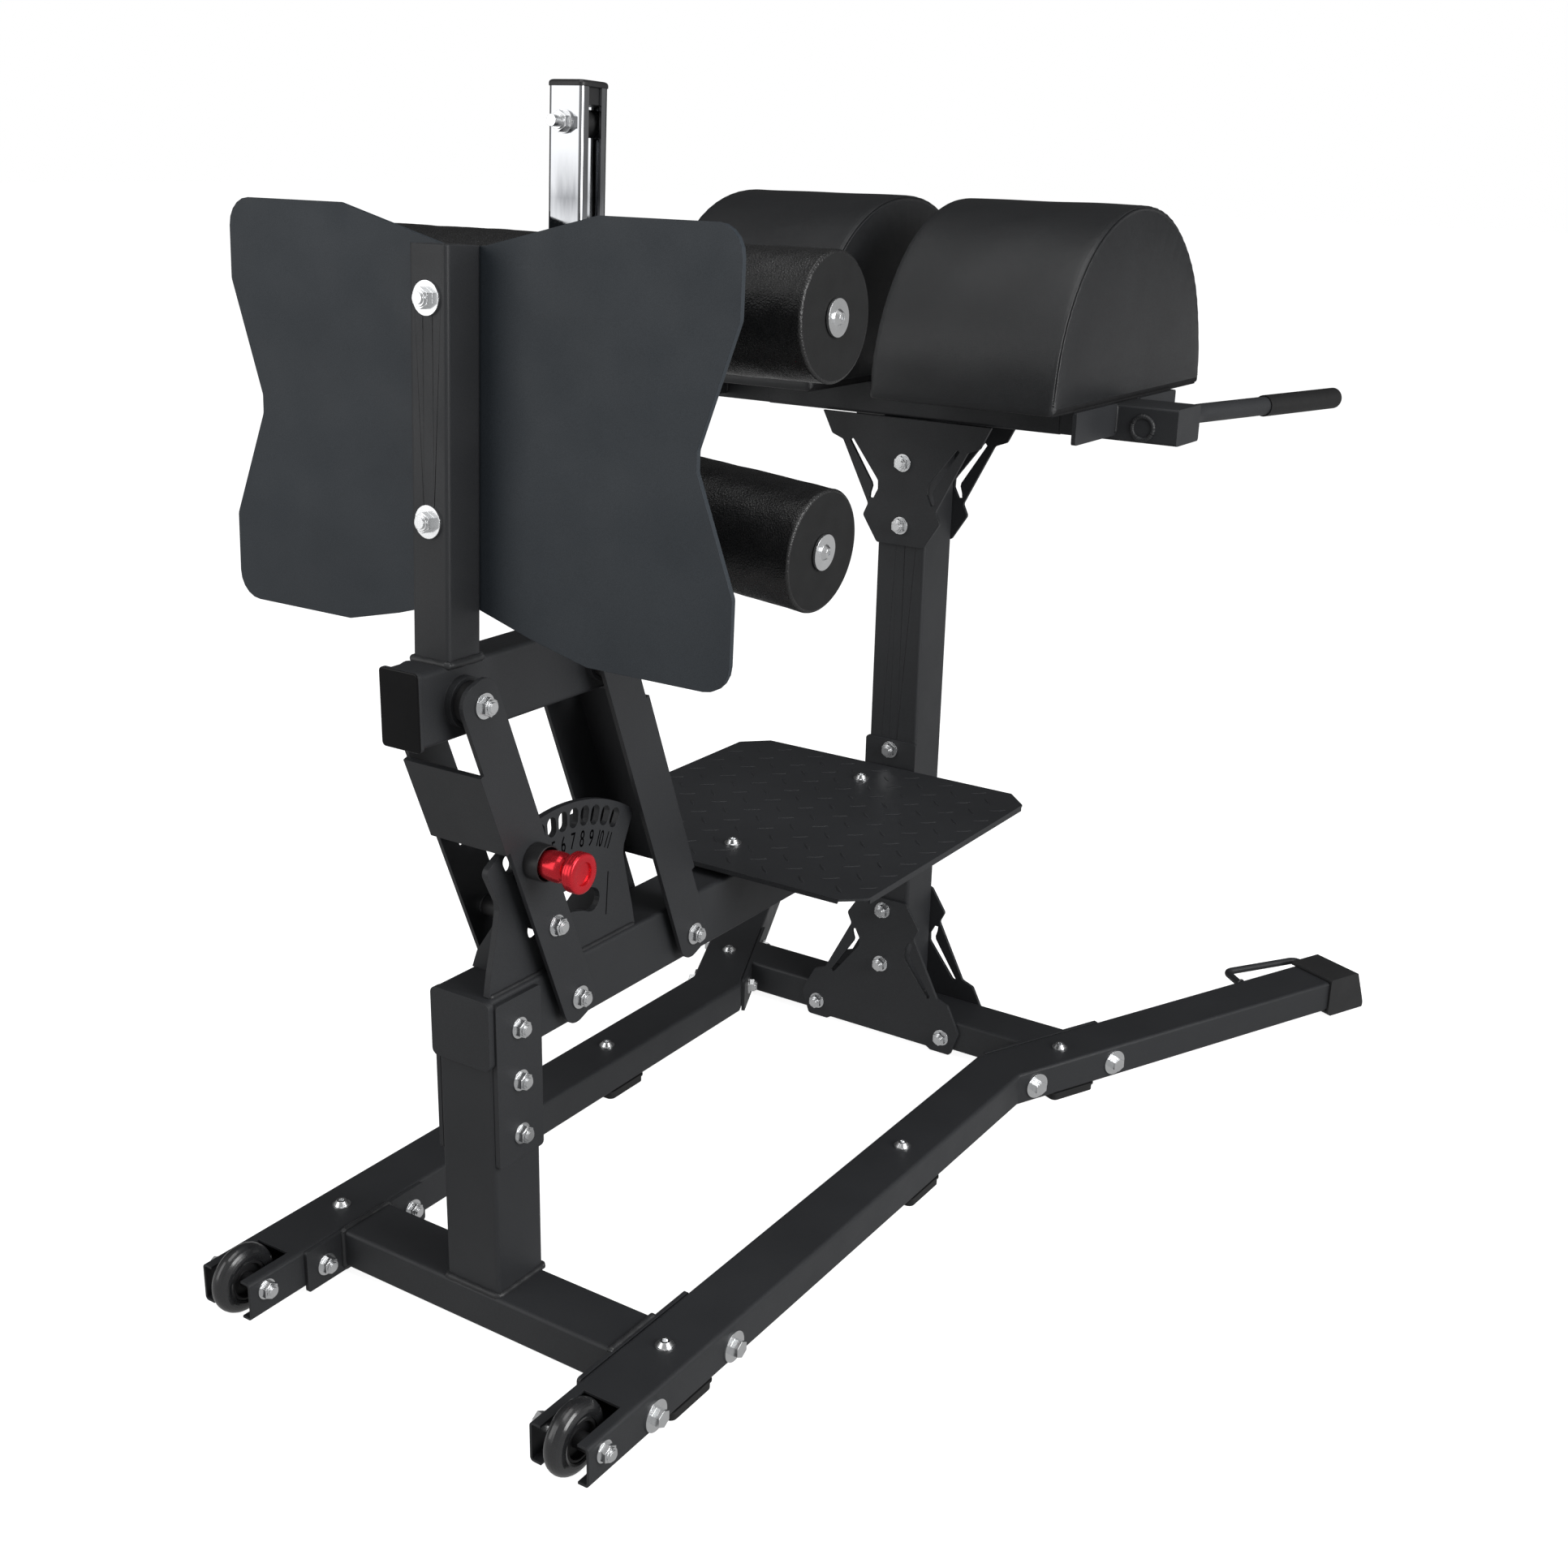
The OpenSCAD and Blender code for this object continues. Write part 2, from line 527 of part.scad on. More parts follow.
module frame_bolts() {
    color([0.75, 0.76, 0.78]) place() {
        nut_right() for (z = side_bolt_z) translate([0, side_bolt_y, z]) bolt(6, -46, 46);
        for (z = flange_bolt_z) bolt_y(0, z, flange_y, front_y + box_w);
        for (z = concat(lower_bolt_z, upper_bolt_z)) bolt_y(0, z, flange_y, front_y + box_w + 5);
        for (x = [-114, 114]) bolt_y(x, side_hole_z, flange_y, front_y + box_w + 5);
        for (y = [680, 1015]) translate([0, y, platform_z]) platform_screw();
    }
}

// ---------- pads and hand bars ----------

pad_z0 = upright_top + rail_h;
arm_y = front_y + rail_w/2;
arm_w = rail_w - 1.6;
arm_h = rail_h - 1.6;
module pad_beam() {
    color([0.20, 0.205, 0.21]) place() translate([0, arm_y, upright_top + rail_h/2]) tube_x(rail_w, rail_h, -sleeve_hw, sleeve_hw, 2.3);
}
support_x = 313;
support_half = 167.5;
module pad_arms() {
    color([0.20, 0.205, 0.21]) place() pair() difference() {
        union() {
            translate([0, arm_y, upright_top + rail_h/2]) {
                tube_x(arm_w, arm_h, sleeve_hw + 0.2, arm_x, 3, 4);
                tube_x(rail_w - 5.4, rail_h - 5.4, 130, sleeve_hw + 8, 3, 3);
                plate_x(arm_x - 4, 4) polygon(rrect(arm_w - 2, arm_h - 2, 4));
            }
            // plates that carry the pad board, welded to both sides of the arm
            for (m = [0, 1]) translate([0, m * 2 * arm_y, 0]) mirror([0, m, 0]) {
                plate_x(support_x, 6) translate([arm_y - support_half/2 - 19, upright_top + 29]) polygon(rrect(support_half - 38, 42, 4));
                translate([support_x - 50, arm_y - support_half + 3, pad_z0 - 4]) cube([52, support_half - 41.5, 4]);
            }
        }
        translate([bar_x, 0, upright_top + 21]) rod_y(bar_r + 0.2, front_y - 10, front_y + rail_w + 10);
    }
}
module pad_boards() {
    color([0.45, 0.36, 0.25]) place() pair() translate([(pad_x0 + pad_x1)/2, pad_y, pad_z0]) linear_extrude(12)
        polygon(rrect(pad_x1 - pad_x0 - 8, 2 * pad_a - 8, 6));
}
module pad() {
    place() difference() {
        plate_x(pad_x0, pad_x1 - pad_x0) intersection() {
            translate([pad_y, pad_z0]) polygon([for (i = [0:44]) let (a = 180 * i / 44) [pad_a * cos(a), pad_b * sin(a)]]);
            translate([pad_y - 300, pad_z0 + 0.3]) square([600, 400]);
        }
        translate([pad_x0 + 3.7, pad_y - pad_a + 3.7, pad_z0 - 1]) cube([pad_x1 - pad_x0 - 7.4, 2 * pad_a - 7.4, 13.3]);
    }
}
module pad_right() { color([0.09, 0.09, 0.095]) pad(); }
module pad_left() { color([0.09, 0.09, 0.095]) mirror([1, 0, 0]) pad(); }

// Hand bar: straight through the arm, a bend outward, then the grip
bar_y0 = front_y;
bar_y1 = 1282;
bend_r = 90;
bar_len2 = 318;
module bar_path_end() { translate([bar_x + bend_r, bar_y1, upright_top + 21]) rotate([0, 0, -bar_splay]) translate([-bend_r, 0, 0]) children(); }
module hand_bars() {
    color([0.20, 0.205, 0.21]) place() pair() {
        translate([bar_x, 0, upright_top + 21]) difference() {
            rod_y(bar_r, bar_y0, bar_y1 + 0.2);
            rod_y(bar_r - 2.6, bar_y0 + 4, bar_y1 - 8);
        }
        translate([bar_x + bend_r, bar_y1, upright_top + 21]) rotate([0, 0, 180 - bar_splay]) rotate_extrude(angle = bar_splay, $fn = 96) translate([bend_r, 0]) rotate(45) circle(r = bar_r - 0.05, $fn = 48);
        bar_path_end() rod_y(bar_r, -0.2, bar_len2);
    }
}
grip_s0 = 148;
grip_s1 = 330;
module hand_grips() {
    color([0.05, 0.05, 0.052]) place() pair() bar_path_end() difference() {
        rotate([-90, 0, 0]) rotate_extrude($fn = 48) polygon(concat(
            [[0, grip_s0], [bar_r + 2, grip_s0]], arc(bar_r - 4, grip_s1 - 6, 6, 0, 90, 6), [[0, grip_s1]]));
        rod_y(bar_r + 0.1, grip_s0 - 1, bar_len2 + 0.3);
    }
}

// ---------- linkage ----------

module link_2d() {
    polygon(rounded([[-30, -28], [26, -28], [26, 444], [-30, 444]], 22, 8));
}
module link_plates(holes) {
    difference() {
        pair() plate_x(link_in, link_t) link_2d();
        for (s = [0, link_len]) translate([0, 0, s]) rod_x(pivot_r + run_fit, -80, 80);
        for (h = holes) translate([0, 0, h[0]]) rod_x(h[1], -80, 80);
    }
}
module rear_link() {
    color([0.20, 0.205, 0.21]) place() in_link(pivot_y, link_lean) {
        link_plates([[stop_r, 6.3], [pin_s, pin_r + 0.3]]);
        translate([-link_x, -36, 241]) cube([2 * link_x, 6, 105]);
    }
}
module front_link() {
    color([0.20, 0.205, 0.21]) place() in_link(front_pivot_y, link_lean) {
        link_plates([]);
        translate([-link_x, 26, 84]) cube([2 * link_x, 6, 262]);
    }
}
module limit_bolt() {
    color([0.75, 0.76, 0.78]) place() in_link(pivot_y, link_lean) translate([0, 0, stop_r]) {
        nut_right() bolt(6, -link_x, link_x);
        difference() { rod_x(12.5, -link_in + 0.5, link_in - 0.5); rod_x(5.9, -80, 80); }
    }
}
// Cup that guides the spring pin on the right-hand plate
module pin_housing() {
    color([0.07, 0.07, 0.075]) place() in_link(pivot_y, link_lean) translate([0, 0, pin_s]) difference() {
        rod_x(21, link_x, link_x + 20);
        rod_x(18.9, link_x + 3, link_x + 21);
        rod_x(pin_r + run_fit, link_x - 1, link_x + 10);
    }
}
pin_tip = sector_x + sector_t + 1.5;
module pop_pin() {
    color([0.78, 0.79, 0.8]) place() in_link(pivot_y, link_lean) translate([0, 0, pin_s]) rod_x(pin_r, pin_tip, link_x + 39);
}
module pin_knob() {
    x0 = link_x + 13.5;
    color([0.72, 0.10, 0.12]) place() in_link(pivot_y, link_lean) translate([0, 0, pin_s]) difference() {
        translate([x0, 0, 0]) rotate([0, 90, 0]) rotate_extrude($fn = 64) polygon(concat(
            [[0, 0], [14, 0], [15, 0.8], [15.5, 3], [16.6, 8], [17.3, 14], [17.6, 21], [17.3, 26], [16, 30.5], [13.5, 33.6], [10, 35.6],
             [7.2, 36.4], [7.2, 40], [12, 40.4], [21.5, 41], [22.8, 42], [23.3, 43.8]], arc(20.3, 52.7, 3, 0, 90, 5), [[0, 55.7]]));
        rod_x(pin_r + 0.1, link_x, link_x + 39.3);
    }
}

module pivot_bolts() {
    color([0.75, 0.76, 0.78]) place() for (y = [pivot_y, front_pivot_y]) translate([0, y, pivot_z])
        nut_right() bolt(pivot_r, -link_x - 0.3, link_x + 0.3, 14);
}
module pivot_bushes() {
    color([0.07, 0.07, 0.075]) place() pair() for (y = [pivot_y, front_pivot_y]) translate([0, y, pivot_z]) difference() {
        rod_x(19, box_hw, link_in - 0.3);
        rod_x(pivot_r + 0.1, 0, 80);
    }
}
module front_top_bolt() {
    color([0.75, 0.76, 0.78]) place() translate([0, top_y + pivot_gap, top_z]) nut_right() bolt(pivot_r, -link_x, link_x, 14);
}
module rear_top_bolt() {
    color([0.75, 0.76, 0.78]) place() translate([0, top_y, top_z]) nut_right() bolt(pivot_r, -link_x - 0.3, link_x + 0.3, 14);
}

// ---------- foot carrier ----------

module carrier_beam() {
    w = 2 * carrier_hw;
    h = carrier_z1 - carrier_z0;
    color([0.20, 0.205, 0.21]) place() difference() {
        union() {
            translate([0, 0, (carrier_z0 + carrier_z1)/2]) tube_y(w, h, carrier_y0 + 4, carrier_y0 + carrier_len - 4);
            // plates that close both ends
            for (y = [carrier_y0, carrier_y0 + carrier_len - 4.5]) plate_y(y, 4.5) translate([0, (carrier_z0 + carrier_z1)/2]) polygon(rrect(w + 4, h + 5, 5));
            // rings that hold the pivot bosses
            pair() for (y = [top_y, top_y + pivot_gap]) translate([0, y, top_z]) rod_x(27.5, carrier_hw - 1, carrier_hw + 9);
        }
        for (y = [top_y, top_y + pivot_gap]) translate([0, y, top_z]) rod_x(22.7, -60, 60);
    }
}
module carrier_bosses() {
    color([0.10, 0.10, 0.105]) place() for (k = [0, 1]) translate([0, top_y + k * pivot_gap, top_z]) difference() {
        union() {
            rod_x(22.5, -link_in + 3.5, link_in - 3.5);
            pair() rod_x(25, link_in - 3.5, link_in - 0.5);
        }
        rod_x(pivot_r + (k == 0 ? 0.1 : 0.35), -60, 60);
    }
}

foot_bolt_s = [143, 362];
module footplate_post() {
    color([0.20, 0.205, 0.21]) place() difference() {
        in_foot_post() translate([0, 25, -12]) tube(50, 50, foot_post_len + 12, 3, 5);
        translate([-60, foot_post_y - 50, carrier_z1 - 60]) cube([120, 160, 60]);
        in_foot_post() for (s = foot_bolt_s) translate([0, 0, s]) rod_y(6.4, -10, 60);
    }
}
module footplate() {
    half = [[0, 411, 5], [30, 413, 14], [100, 430, 14], [170, 447, 14], [335, 447, 30], [335, 362, 14], [292, 241, 14], [292, 221, 14],
        [338, 106, 14], [338, 11, 30], [165, 11, 14], [92, 28, 14], [20, 49, 14], [0, 50, 5]];
    color([0.235, 0.26, 0.28]) place() in_foot_post() difference() {
        plate_y(50, footplate_t) polygon(rounded_each(both_halves(half)));
        for (s = foot_bolt_s) translate([0, 0, s]) rod_y(6.4, 40, 70);
    }
}
module carrier_bolts() {
    color([0.75, 0.76, 0.78]) place() {
        in_foot_post() for (s = foot_bolt_s) translate([0, 0, s]) rotate([0, 0, 90]) bolt(6, 0, 50 + footplate_t, 17, 3);
        in_chrome() translate([0, 0, stop_s]) rotate([0, 0, 90]) bolt(6, 0, chrome_w, 12, 2.5, 9);
    }
}

module chrome_post() {
    c = chrome_w / 2;
    color([0.83, 0.84, 0.86]) place() difference() {
        in_chrome() translate([0, c, -12]) tube(chrome_w, chrome_w, chrome_len + 12, 3, 5);
        translate([-60, chrome_y - 50, carrier_z1 - 60]) cube([120, 160, 60]);
        in_chrome() {
            // guide slots for the upper axle
            translate([0, c, axle_s - 0.3]) rod_x(axle_r + 0.5, -60, 60);
            translate([-60, c - axle_r - 0.5, axle_s - 0.3]) cube([120, 2 * axle_r + 1, chrome_len + 2 - axle_s]);
            translate([0, 0, stop_s]) rod_y(6.4, -10, 60);
        }
    }
}
module post_cap() {
    color([0.08, 0.08, 0.085]) place() in_chrome() translate([0, chrome_w/2, 0]) difference() {
        union() {
            translate([0, 0, chrome_len]) linear_extrude(7) polygon(rrect(chrome_w + 2, chrome_w + 2, 5.5));
            translate([0, 0, chrome_len - 17]) linear_extrude(17.5) polygon(rrect(chrome_w - 6.6, chrome_w - 6.6, 2));
        }
        translate([0, 0, chrome_len - 18]) linear_extrude(15) polygon(rrect(chrome_w - 12, chrome_w - 12, 1));
    }
}
module bumper() {
    color([0.05, 0.05, 0.05]) place() in_chrome() difference() {
        translate([0, 0, stop_s]) rod_y(14, 3.6, chrome_w - 3.6);
        translate([0, 0, stop_s]) rod_y(6.3, -10, 60);
    }
}
// Sliding block inside the roller post
module carriage_block() {
    color([0.08, 0.08, 0.085]) place() in_chrome() difference() {
        translate([0, chrome_w/2, axle_s - 40]) linear_extrude(78) polygon(rrect(chrome_w - 6.8, chrome_w - 6.8, 3));
        translate([0, chrome_w/2, axle_s]) rod_x(axle_r + 0.02, -60, 60);
    }
}

roller_x0 = 35;
roller_x1 = roller_x0 + roller_len;
module axle_end(x) {
    rod_x(19, x, x + 3);
    translate([x, 0, 0]) rotate([0, 90, 0]) difference() {
        translate([0, 0, 3]) cylinder(r1 = 8.5, r2 = 5.5, h = 4.5, $fn = 48);
        translate([0, 0, 5]) cylinder(r = 2.9, h = 4, $fn = 6);
    }
}
module upper_axle() {
    color([0.75, 0.76, 0.78]) place() in_chrome() translate([0, chrome_w/2, axle_s]) {
        difference() {
            union() {
                rod_x(axle_r, -roller_x1 - 1, roller_x1 + 1);
                pair() axle_end(roller_x1 + 0.6);
                pair() rod_x(15, roller_x0 - 9, roller_x0 - 0.6);
            }
        }
    }
}
// Lower axles leave the sides of the post and slope down
module in_lower() { in_chrome() translate([chrome_w/2, chrome_w/2, lower_s]) rotate([0, lower_tilt, 0]) translate([-chrome_w/2, 0, 0]) children(); }
module lower_axles() {
    color([0.75, 0.76, 0.78]) place() pair() difference() {
        in_lower() {
            rod_x(axle_r, 15, roller_x1 + 1);
            axle_end(roller_x1 + 0.6);
            rod_x(15, 26, roller_x0 - 0.6);
        }
        in_chrome() translate([-chrome_w/2, -20, 0]) cube([chrome_w, 100, 300]);
    }
}
module foam_sleeve() { difference() { rod_x(roller_r, roller_x0, roller_x1); rod_x(16.1, 0, 400); } }
module core_tube() { difference() { rod_x(15.9, roller_x0, roller_x1); rod_x(axle_r + run_fit, 0, 400); } }
module upper_at() { place() in_chrome() translate([0, chrome_w/2, axle_s]) children(); }

module roller_foam_ur() { color([0.10, 0.10, 0.105]) upper_at() foam_sleeve(); }
module roller_core_ur() { color([0.25, 0.25, 0.26]) upper_at() core_tube(); }
module roller_foam_ul() { color([0.10, 0.10, 0.105]) mirror([1, 0, 0]) upper_at() foam_sleeve(); }
module roller_core_ul() { color([0.25, 0.25, 0.26]) mirror([1, 0, 0]) upper_at() core_tube(); }
module roller_foam_lr() { color([0.10, 0.10, 0.105]) place() in_lower() foam_sleeve(); }
module roller_core_lr() { color([0.25, 0.25, 0.26]) place() in_lower() core_tube(); }
module roller_foam_ll() { color([0.10, 0.10, 0.105]) mirror([1, 0, 0]) place() in_lower() foam_sleeve(); }
module roller_core_ll() { color([0.25, 0.25, 0.26]) mirror([1, 0, 0]) place() in_lower() core_tube(); }

// ---------- one line per sub-part ----------

rail_right();
rail_left();
rear_crossmember();
front_crossmember();
rear_upright();
side_plates();
main_beam();
sector_plate();
platform();
front_upright();
lower_gussets();
upper_gussets();
pad_beam();
pad_arms();
pad_boards();
pad_right();
pad_left();
hand_bars();
hand_grips();
rail_feet();
foot_screws();
end_caps();
floor_handles();
base_bolts();
frame_bolts();
pivot_bolts();
pivot_bushes();
wheel_axles();
rear_link();
pin_housing();
limit_bolt();
pop_pin();
pin_knob();
front_link();
front_top_bolt();
carrier_beam();
carrier_bosses();
rear_top_bolt();
footplate_post();
footplate();
carrier_bolts();
chrome_post();
post_cap();
bumper();
lower_axles();
carriage_block();
upper_axle();
roller_foam_ur();
roller_core_ur();
roller_foam_ul();
roller_core_ul();
roller_foam_lr();
roller_core_lr();
roller_foam_ll();
roller_core_ll();
hub_right();
hub_left();
tyre_right();
tyre_left();
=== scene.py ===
import math
import bpy
import numpy as np
from mathutils import Matrix, Vector


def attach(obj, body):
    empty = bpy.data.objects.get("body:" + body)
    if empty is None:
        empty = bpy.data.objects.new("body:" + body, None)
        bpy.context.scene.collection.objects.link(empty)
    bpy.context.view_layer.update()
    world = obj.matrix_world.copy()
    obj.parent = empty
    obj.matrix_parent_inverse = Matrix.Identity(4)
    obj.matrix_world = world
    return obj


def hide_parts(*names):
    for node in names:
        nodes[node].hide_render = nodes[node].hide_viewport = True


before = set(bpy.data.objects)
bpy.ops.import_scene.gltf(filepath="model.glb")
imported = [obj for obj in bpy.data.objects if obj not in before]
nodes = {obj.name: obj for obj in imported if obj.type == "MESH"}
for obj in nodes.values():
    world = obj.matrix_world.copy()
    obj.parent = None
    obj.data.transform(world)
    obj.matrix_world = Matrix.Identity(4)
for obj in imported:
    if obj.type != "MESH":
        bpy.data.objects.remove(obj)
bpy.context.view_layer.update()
scene = bpy.context.scene

# ---------- the row frame ----------

YM = 0.84359725      # middle of the footprint, from the rear end of a rail
FH = 0.012           # height of the rubber feet


def W(x, y, z):
    """A point given in millimetres from the rear end and underside of the rails."""
    return Vector((x / 1000.0, y / 1000.0 - YM, z / 1000.0 + FH))


def rad(a):
    return math.radians(a)


RNG = np.random.RandomState(7)

# ---------- materials ----------


class Mat:
    """A principled material with helpers for procedural detail, in the object's own metres."""

    def __init__(self, name, color, rough, metal=0.0, spec=0.5):
        self.m = bpy.data.materials.new(name)
        self.m.use_nodes = True
        self.t = self.m.node_tree
        self.b = self.t.nodes["Principled BSDF"]
        self.b.inputs["Base Color"].default_value = (*color, 1)
        self.b.inputs["Roughness"].default_value = rough
        self.b.inputs["Metallic"].default_value = metal
        self.b.inputs["Specular IOR Level"].default_value = spec
        self.color, self.rough = color, rough
        self.m.diffuse_color = (*color, 1)
        tc = self.t.nodes.new("ShaderNodeTexCoord")
        self.co = tc.outputs["Object"]
        self.normal = None

    def n(self, kind, **inputs):
        node = self.t.nodes.new(kind)
        for k, v in inputs.items():
            s = node.inputs[k.replace("_", " ")]
            if hasattr(v, "is_output"):
                self.t.links.new(v, s)
            else:
                s.default_value = v
        return node

    def mapped(self, scale, rot=(0, 0, 0)):
        m = self.n("ShaderNodeMapping", Vector=self.co)
        m.inputs["Scale"].default_value = scale
        m.inputs["Rotation"].default_value = rot
        return m.outputs["Vector"]

    def noise(self, scale, detail=2.0, rough=0.5, vec=None, dist=0.0):
        return self.n("ShaderNodeTexNoise", Vector=vec or self.co, Scale=scale, Detail=detail, Roughness=rough, Distortion=dist).outputs["Fac"]

    def voronoi(self, scale, feature="F1", vec=None, rand=1.0):
        v = self.n("ShaderNodeTexVoronoi", Vector=vec or self.co, Scale=scale, Randomness=rand)
        v.feature = feature
        return v.outputs["Distance"]

    def remap(self, fac, lo, hi, a=0.0, b=1.0):
        return self.n("ShaderNodeMapRange", Value=fac, From_Min=a, From_Max=b, To_Min=lo, To_Max=hi).outputs["Result"]

    def math(self, op, a, b=0.0):
        node = self.t.nodes.new("ShaderNodeMath")
        node.operation = op
        for i, v in enumerate((a, b)):
            if hasattr(v, "is_output"):
                self.t.links.new(v, node.inputs[i])
            else:
                node.inputs[i].default_value = v
        return node.outputs[0]

    def mix(self, fac, c1, c2):
        node = self.t.nodes.new("ShaderNodeMix")
        node.data_type = "RGBA"
        for s, v in ((node.inputs[0], fac), (node.inputs[6], c1), (node.inputs[7], c2)):
            if hasattr(v, "is_output"):
                self.t.links.new(v, s)
            else:
                s.default_value = (*v, 1) if isinstance(v, tuple) and len(v) == 3 else v
        return node.outputs[2]

    def set(self, socket, out):
        self.t.links.new(out, self.b.inputs[socket])

    def bump(self, height, strength, distance):
        b = self.n("ShaderNodeBump", Height=height, Strength=strength, Distance=distance)
        if self.normal is not None:
            self.t.links.new(self.normal, b.inputs["Normal"])
        self.normal = b.outputs["Normal"]
        self.t.links.new(self.normal, self.b.inputs["Normal"])

    def rounded(self, radius):
        b = self.t.nodes.new("ShaderNodeBevel")
        b.samples = 6
        b.inputs["Radius"].default_value = radius
        self.normal = b.outputs["Normal"]

    def shade(self, patch, spread, fine=None, fine_spread=0.0):
        """Uneven colour: a broad patchiness and a finer mottling."""
        c = self.color
        lo = tuple(v * (1 - spread) for v in c)
        hi = tuple(min(1, v * (1 + spread)) for v in c)
        out = self.mix(self.remap(self.noise(patch, 3.0), 0, 1, 0.3, 0.7), lo, hi)
        if fine:
            f = self.remap(self.noise(fine, 2.0), 0, 1, 0.35, 0.65)
            dark = self.mix(f, tuple([1 - fine_spread] * 3), (1.0, 1.0, 1.0))
            node = self.t.nodes.new("ShaderNodeMix")
            node.data_type = "RGBA"
            node.blend_type = "MULTIPLY"
            node.inputs[0].default_value = 1.0
            self.t.links.new(out, node.inputs[6])
            self.t.links.new(dark, node.inputs[7])
            out = node.outputs[2]
        self.set("Base Color", out)


def powder_coat(name, color, rough=0.47, spec=0.42):
    """Fine-textured powder coat: an orange-peel surface with specks and faint handling marks."""
    p = Mat(name, color, rough, spec=spec)
    p.rounded(0.0008)
    p.shade(5.0, 0.10, 950.0, 0.22)
    p.set("Roughness", p.remap(p.noise(14.0, 4.0), rough - 0.05, rough + 0.07, 0.3, 0.7))
    p.bump(p.noise(1250.0, 2.0, 0.6), 0.32, 0.00035)
    p.bump(p.noise(210.0, 2.0, 0.5), 0.10, 0.0006)
    return p.m


def make_materials():
    M = {}
    M["frame"] = powder_coat("powder_coat_black", (0.030, 0.0315, 0.0345))
    M["plate"] = powder_coat("powder_coat_slate", (0.0305, 0.0385, 0.0475), 0.52)

    p = Mat("zinc_plated_steel", (0.90, 0.91, 0.92), 0.22, 1.0)
    p.rounded(0.0006)
    p.shade(60.0, 0.04, 900.0, 0.03)
    p.set("Roughness", p.remap(p.noise(150.0, 3.0), 0.20, 0.27, 0.3, 0.7))
    p.bump(p.noise(700.0, 2.0), 0.02, 0.0001)
    M["zinc"] = p.m

    # the same zinc outside the link plates, and near black between them
    p = Mat("zinc_bolt_dark_between_plates", (0.80, 0.81, 0.82), 0.24, 1.0)
    p.rounded(0.0006)
    sep = p.n("ShaderNodeSeparateXYZ", Vector=p.co)
    inner = p.math("LESS_THAN", p.math("ABSOLUTE", sep.outputs["X"]), 0.0465)
    p.set("Base Color", p.mix(inner, p.mix(p.remap(p.noise(60.0), 0, 1, 0.3, 0.7), (0.87, 0.88, 0.89), (0.92, 0.93, 0.94)), (0.016, 0.016, 0.017)))
    p.set("Metallic", p.remap(inner, 1.0, 0.0))
    p.set("Roughness", p.remap(inner, 0.24, 0.50))
    p.bump(p.noise(700.0, 2.0), 0.03, 0.0001)
    M["zinc_dark_middle"] = p.m

    p = Mat("chrome_plate", (0.72, 0.73, 0.75), 0.045, 1.0)
    sep = p.n("ShaderNodeSeparateXYZ", Vector=p.co)
    height = sep.outputs["Z"]
    # painted reflection: a dark streaky band between 1.245 and 1.335 m high, darkest at 1.285 m, is put into the
    # chrome's base colour in place of dark surroundings seen in it
    band = p.math("MULTIPLY", p.remap(height, 0.0, 1.0, 1.245, 1.285), p.remap(height, 1.0, 0.0, 1.285, 1.335))
    streak = p.remap(p.noise(30.0, 4.0, 0.6, vec=p.mapped((1.0, 1.0, 0.18))), 0.25, 1.0, 0.35, 0.65)
    painted_dark_reflection = p.math("MULTIPLY", band, streak)
    p.set("Base Color", p.mix(painted_dark_reflection, (0.57, 0.58, 0.60), (0.13, 0.135, 0.145)))
    p.set("Roughness", p.remap(p.noise(60.0, 4.0, vec=p.mapped((1, 1, 0.15))), 0.03, 0.10, 0.35, 0.7))
    p.bump(p.noise(9.0, 1.0, vec=p.mapped((1, 1, 0.5))), 0.10, 0.002)
    M["chrome"] = p.m

    p = Mat("red_anodised", (0.80, 0.030, 0.045), 0.22, 0.72)
    p.shade(90.0, 0.06, 1200.0, 0.03)
    wave = p.n("ShaderNodeTexWave", Vector=p.co, Scale=420.0, Distortion=0.6, Detail=1.0)
    wave.bands_direction = "X"
    p.bump(wave.outputs["Fac"], 0.04, 0.0001)
    p.set("Roughness", p.remap(p.noise(500.0, 2.0), 0.16, 0.30, 0.3, 0.7))
    M["red"] = p.m

    # embossed vinyl: small rounded cells with creases between them
    p = Mat("vinyl_black", (0.0122, 0.0131, 0.0146), 0.35, spec=0.58)
    warp = p.noise(260.0, 2.0)
    cells = p.voronoi(820.0, "DISTANCE_TO_EDGE", rand=0.9)
    crease = p.remap(cells, 0.0, 1.0, 0.0, 0.13)
    p.bump(crease, 0.36, 0.00022)
    p.bump(p.noise(420.0, 3.0), 0.16, 0.0004)
    p.bump(p.noise(24.0, 2.0), 0.10, 0.003)
    p.set("Roughness", p.remap(p.math("MULTIPLY", crease, p.remap(warp, 0.7, 1.0, 0.3, 0.7)), 0.47, 0.31, 0.0, 1.0))
    p.set("Base Color", p.mix(p.remap(p.noise(12.0, 3.0), 0, 1, 0.3, 0.7), (0.0104, 0.0112, 0.0126), (0.0140, 0.0150, 0.0166)))
    M["vinyl"] = p.m

    # skinned foam: coarse pebbles that catch the light one by one
    p = Mat("foam_skin_black", (0.0125, 0.0125, 0.013), 0.30, spec=0.55)
    peb = p.voronoi(560.0, "F1", rand=1.0)
    big = p.noise(330.0, 4.0, 0.65)
    p.bump(p.math("MULTIPLY", peb, 1.0), 0.55, 0.0007)
    p.bump(big, 0.38, 0.0010)
    p.set("Roughness", p.remap(p.noise(700.0, 3.0), 0.20, 0.46, 0.35, 0.65))
    p.set("Base Color", p.mix(p.remap(p.noise(90.0, 3.0), 0, 1, 0.3, 0.7), (0.010, 0.010, 0.0105), (0.016, 0.016, 0.0165)))
    M["foam"] = p.m

    p = Mat("foam_cut_end", (0.0165, 0.0168, 0.0172), 0.66, spec=0.22)
    p.shade(40.0, 0.12, 1300.0, 0.30)
    p.bump(p.noise(1300.0, 3.0, 0.7), 0.30, 0.0004)
    M["foam_end"] = p.m

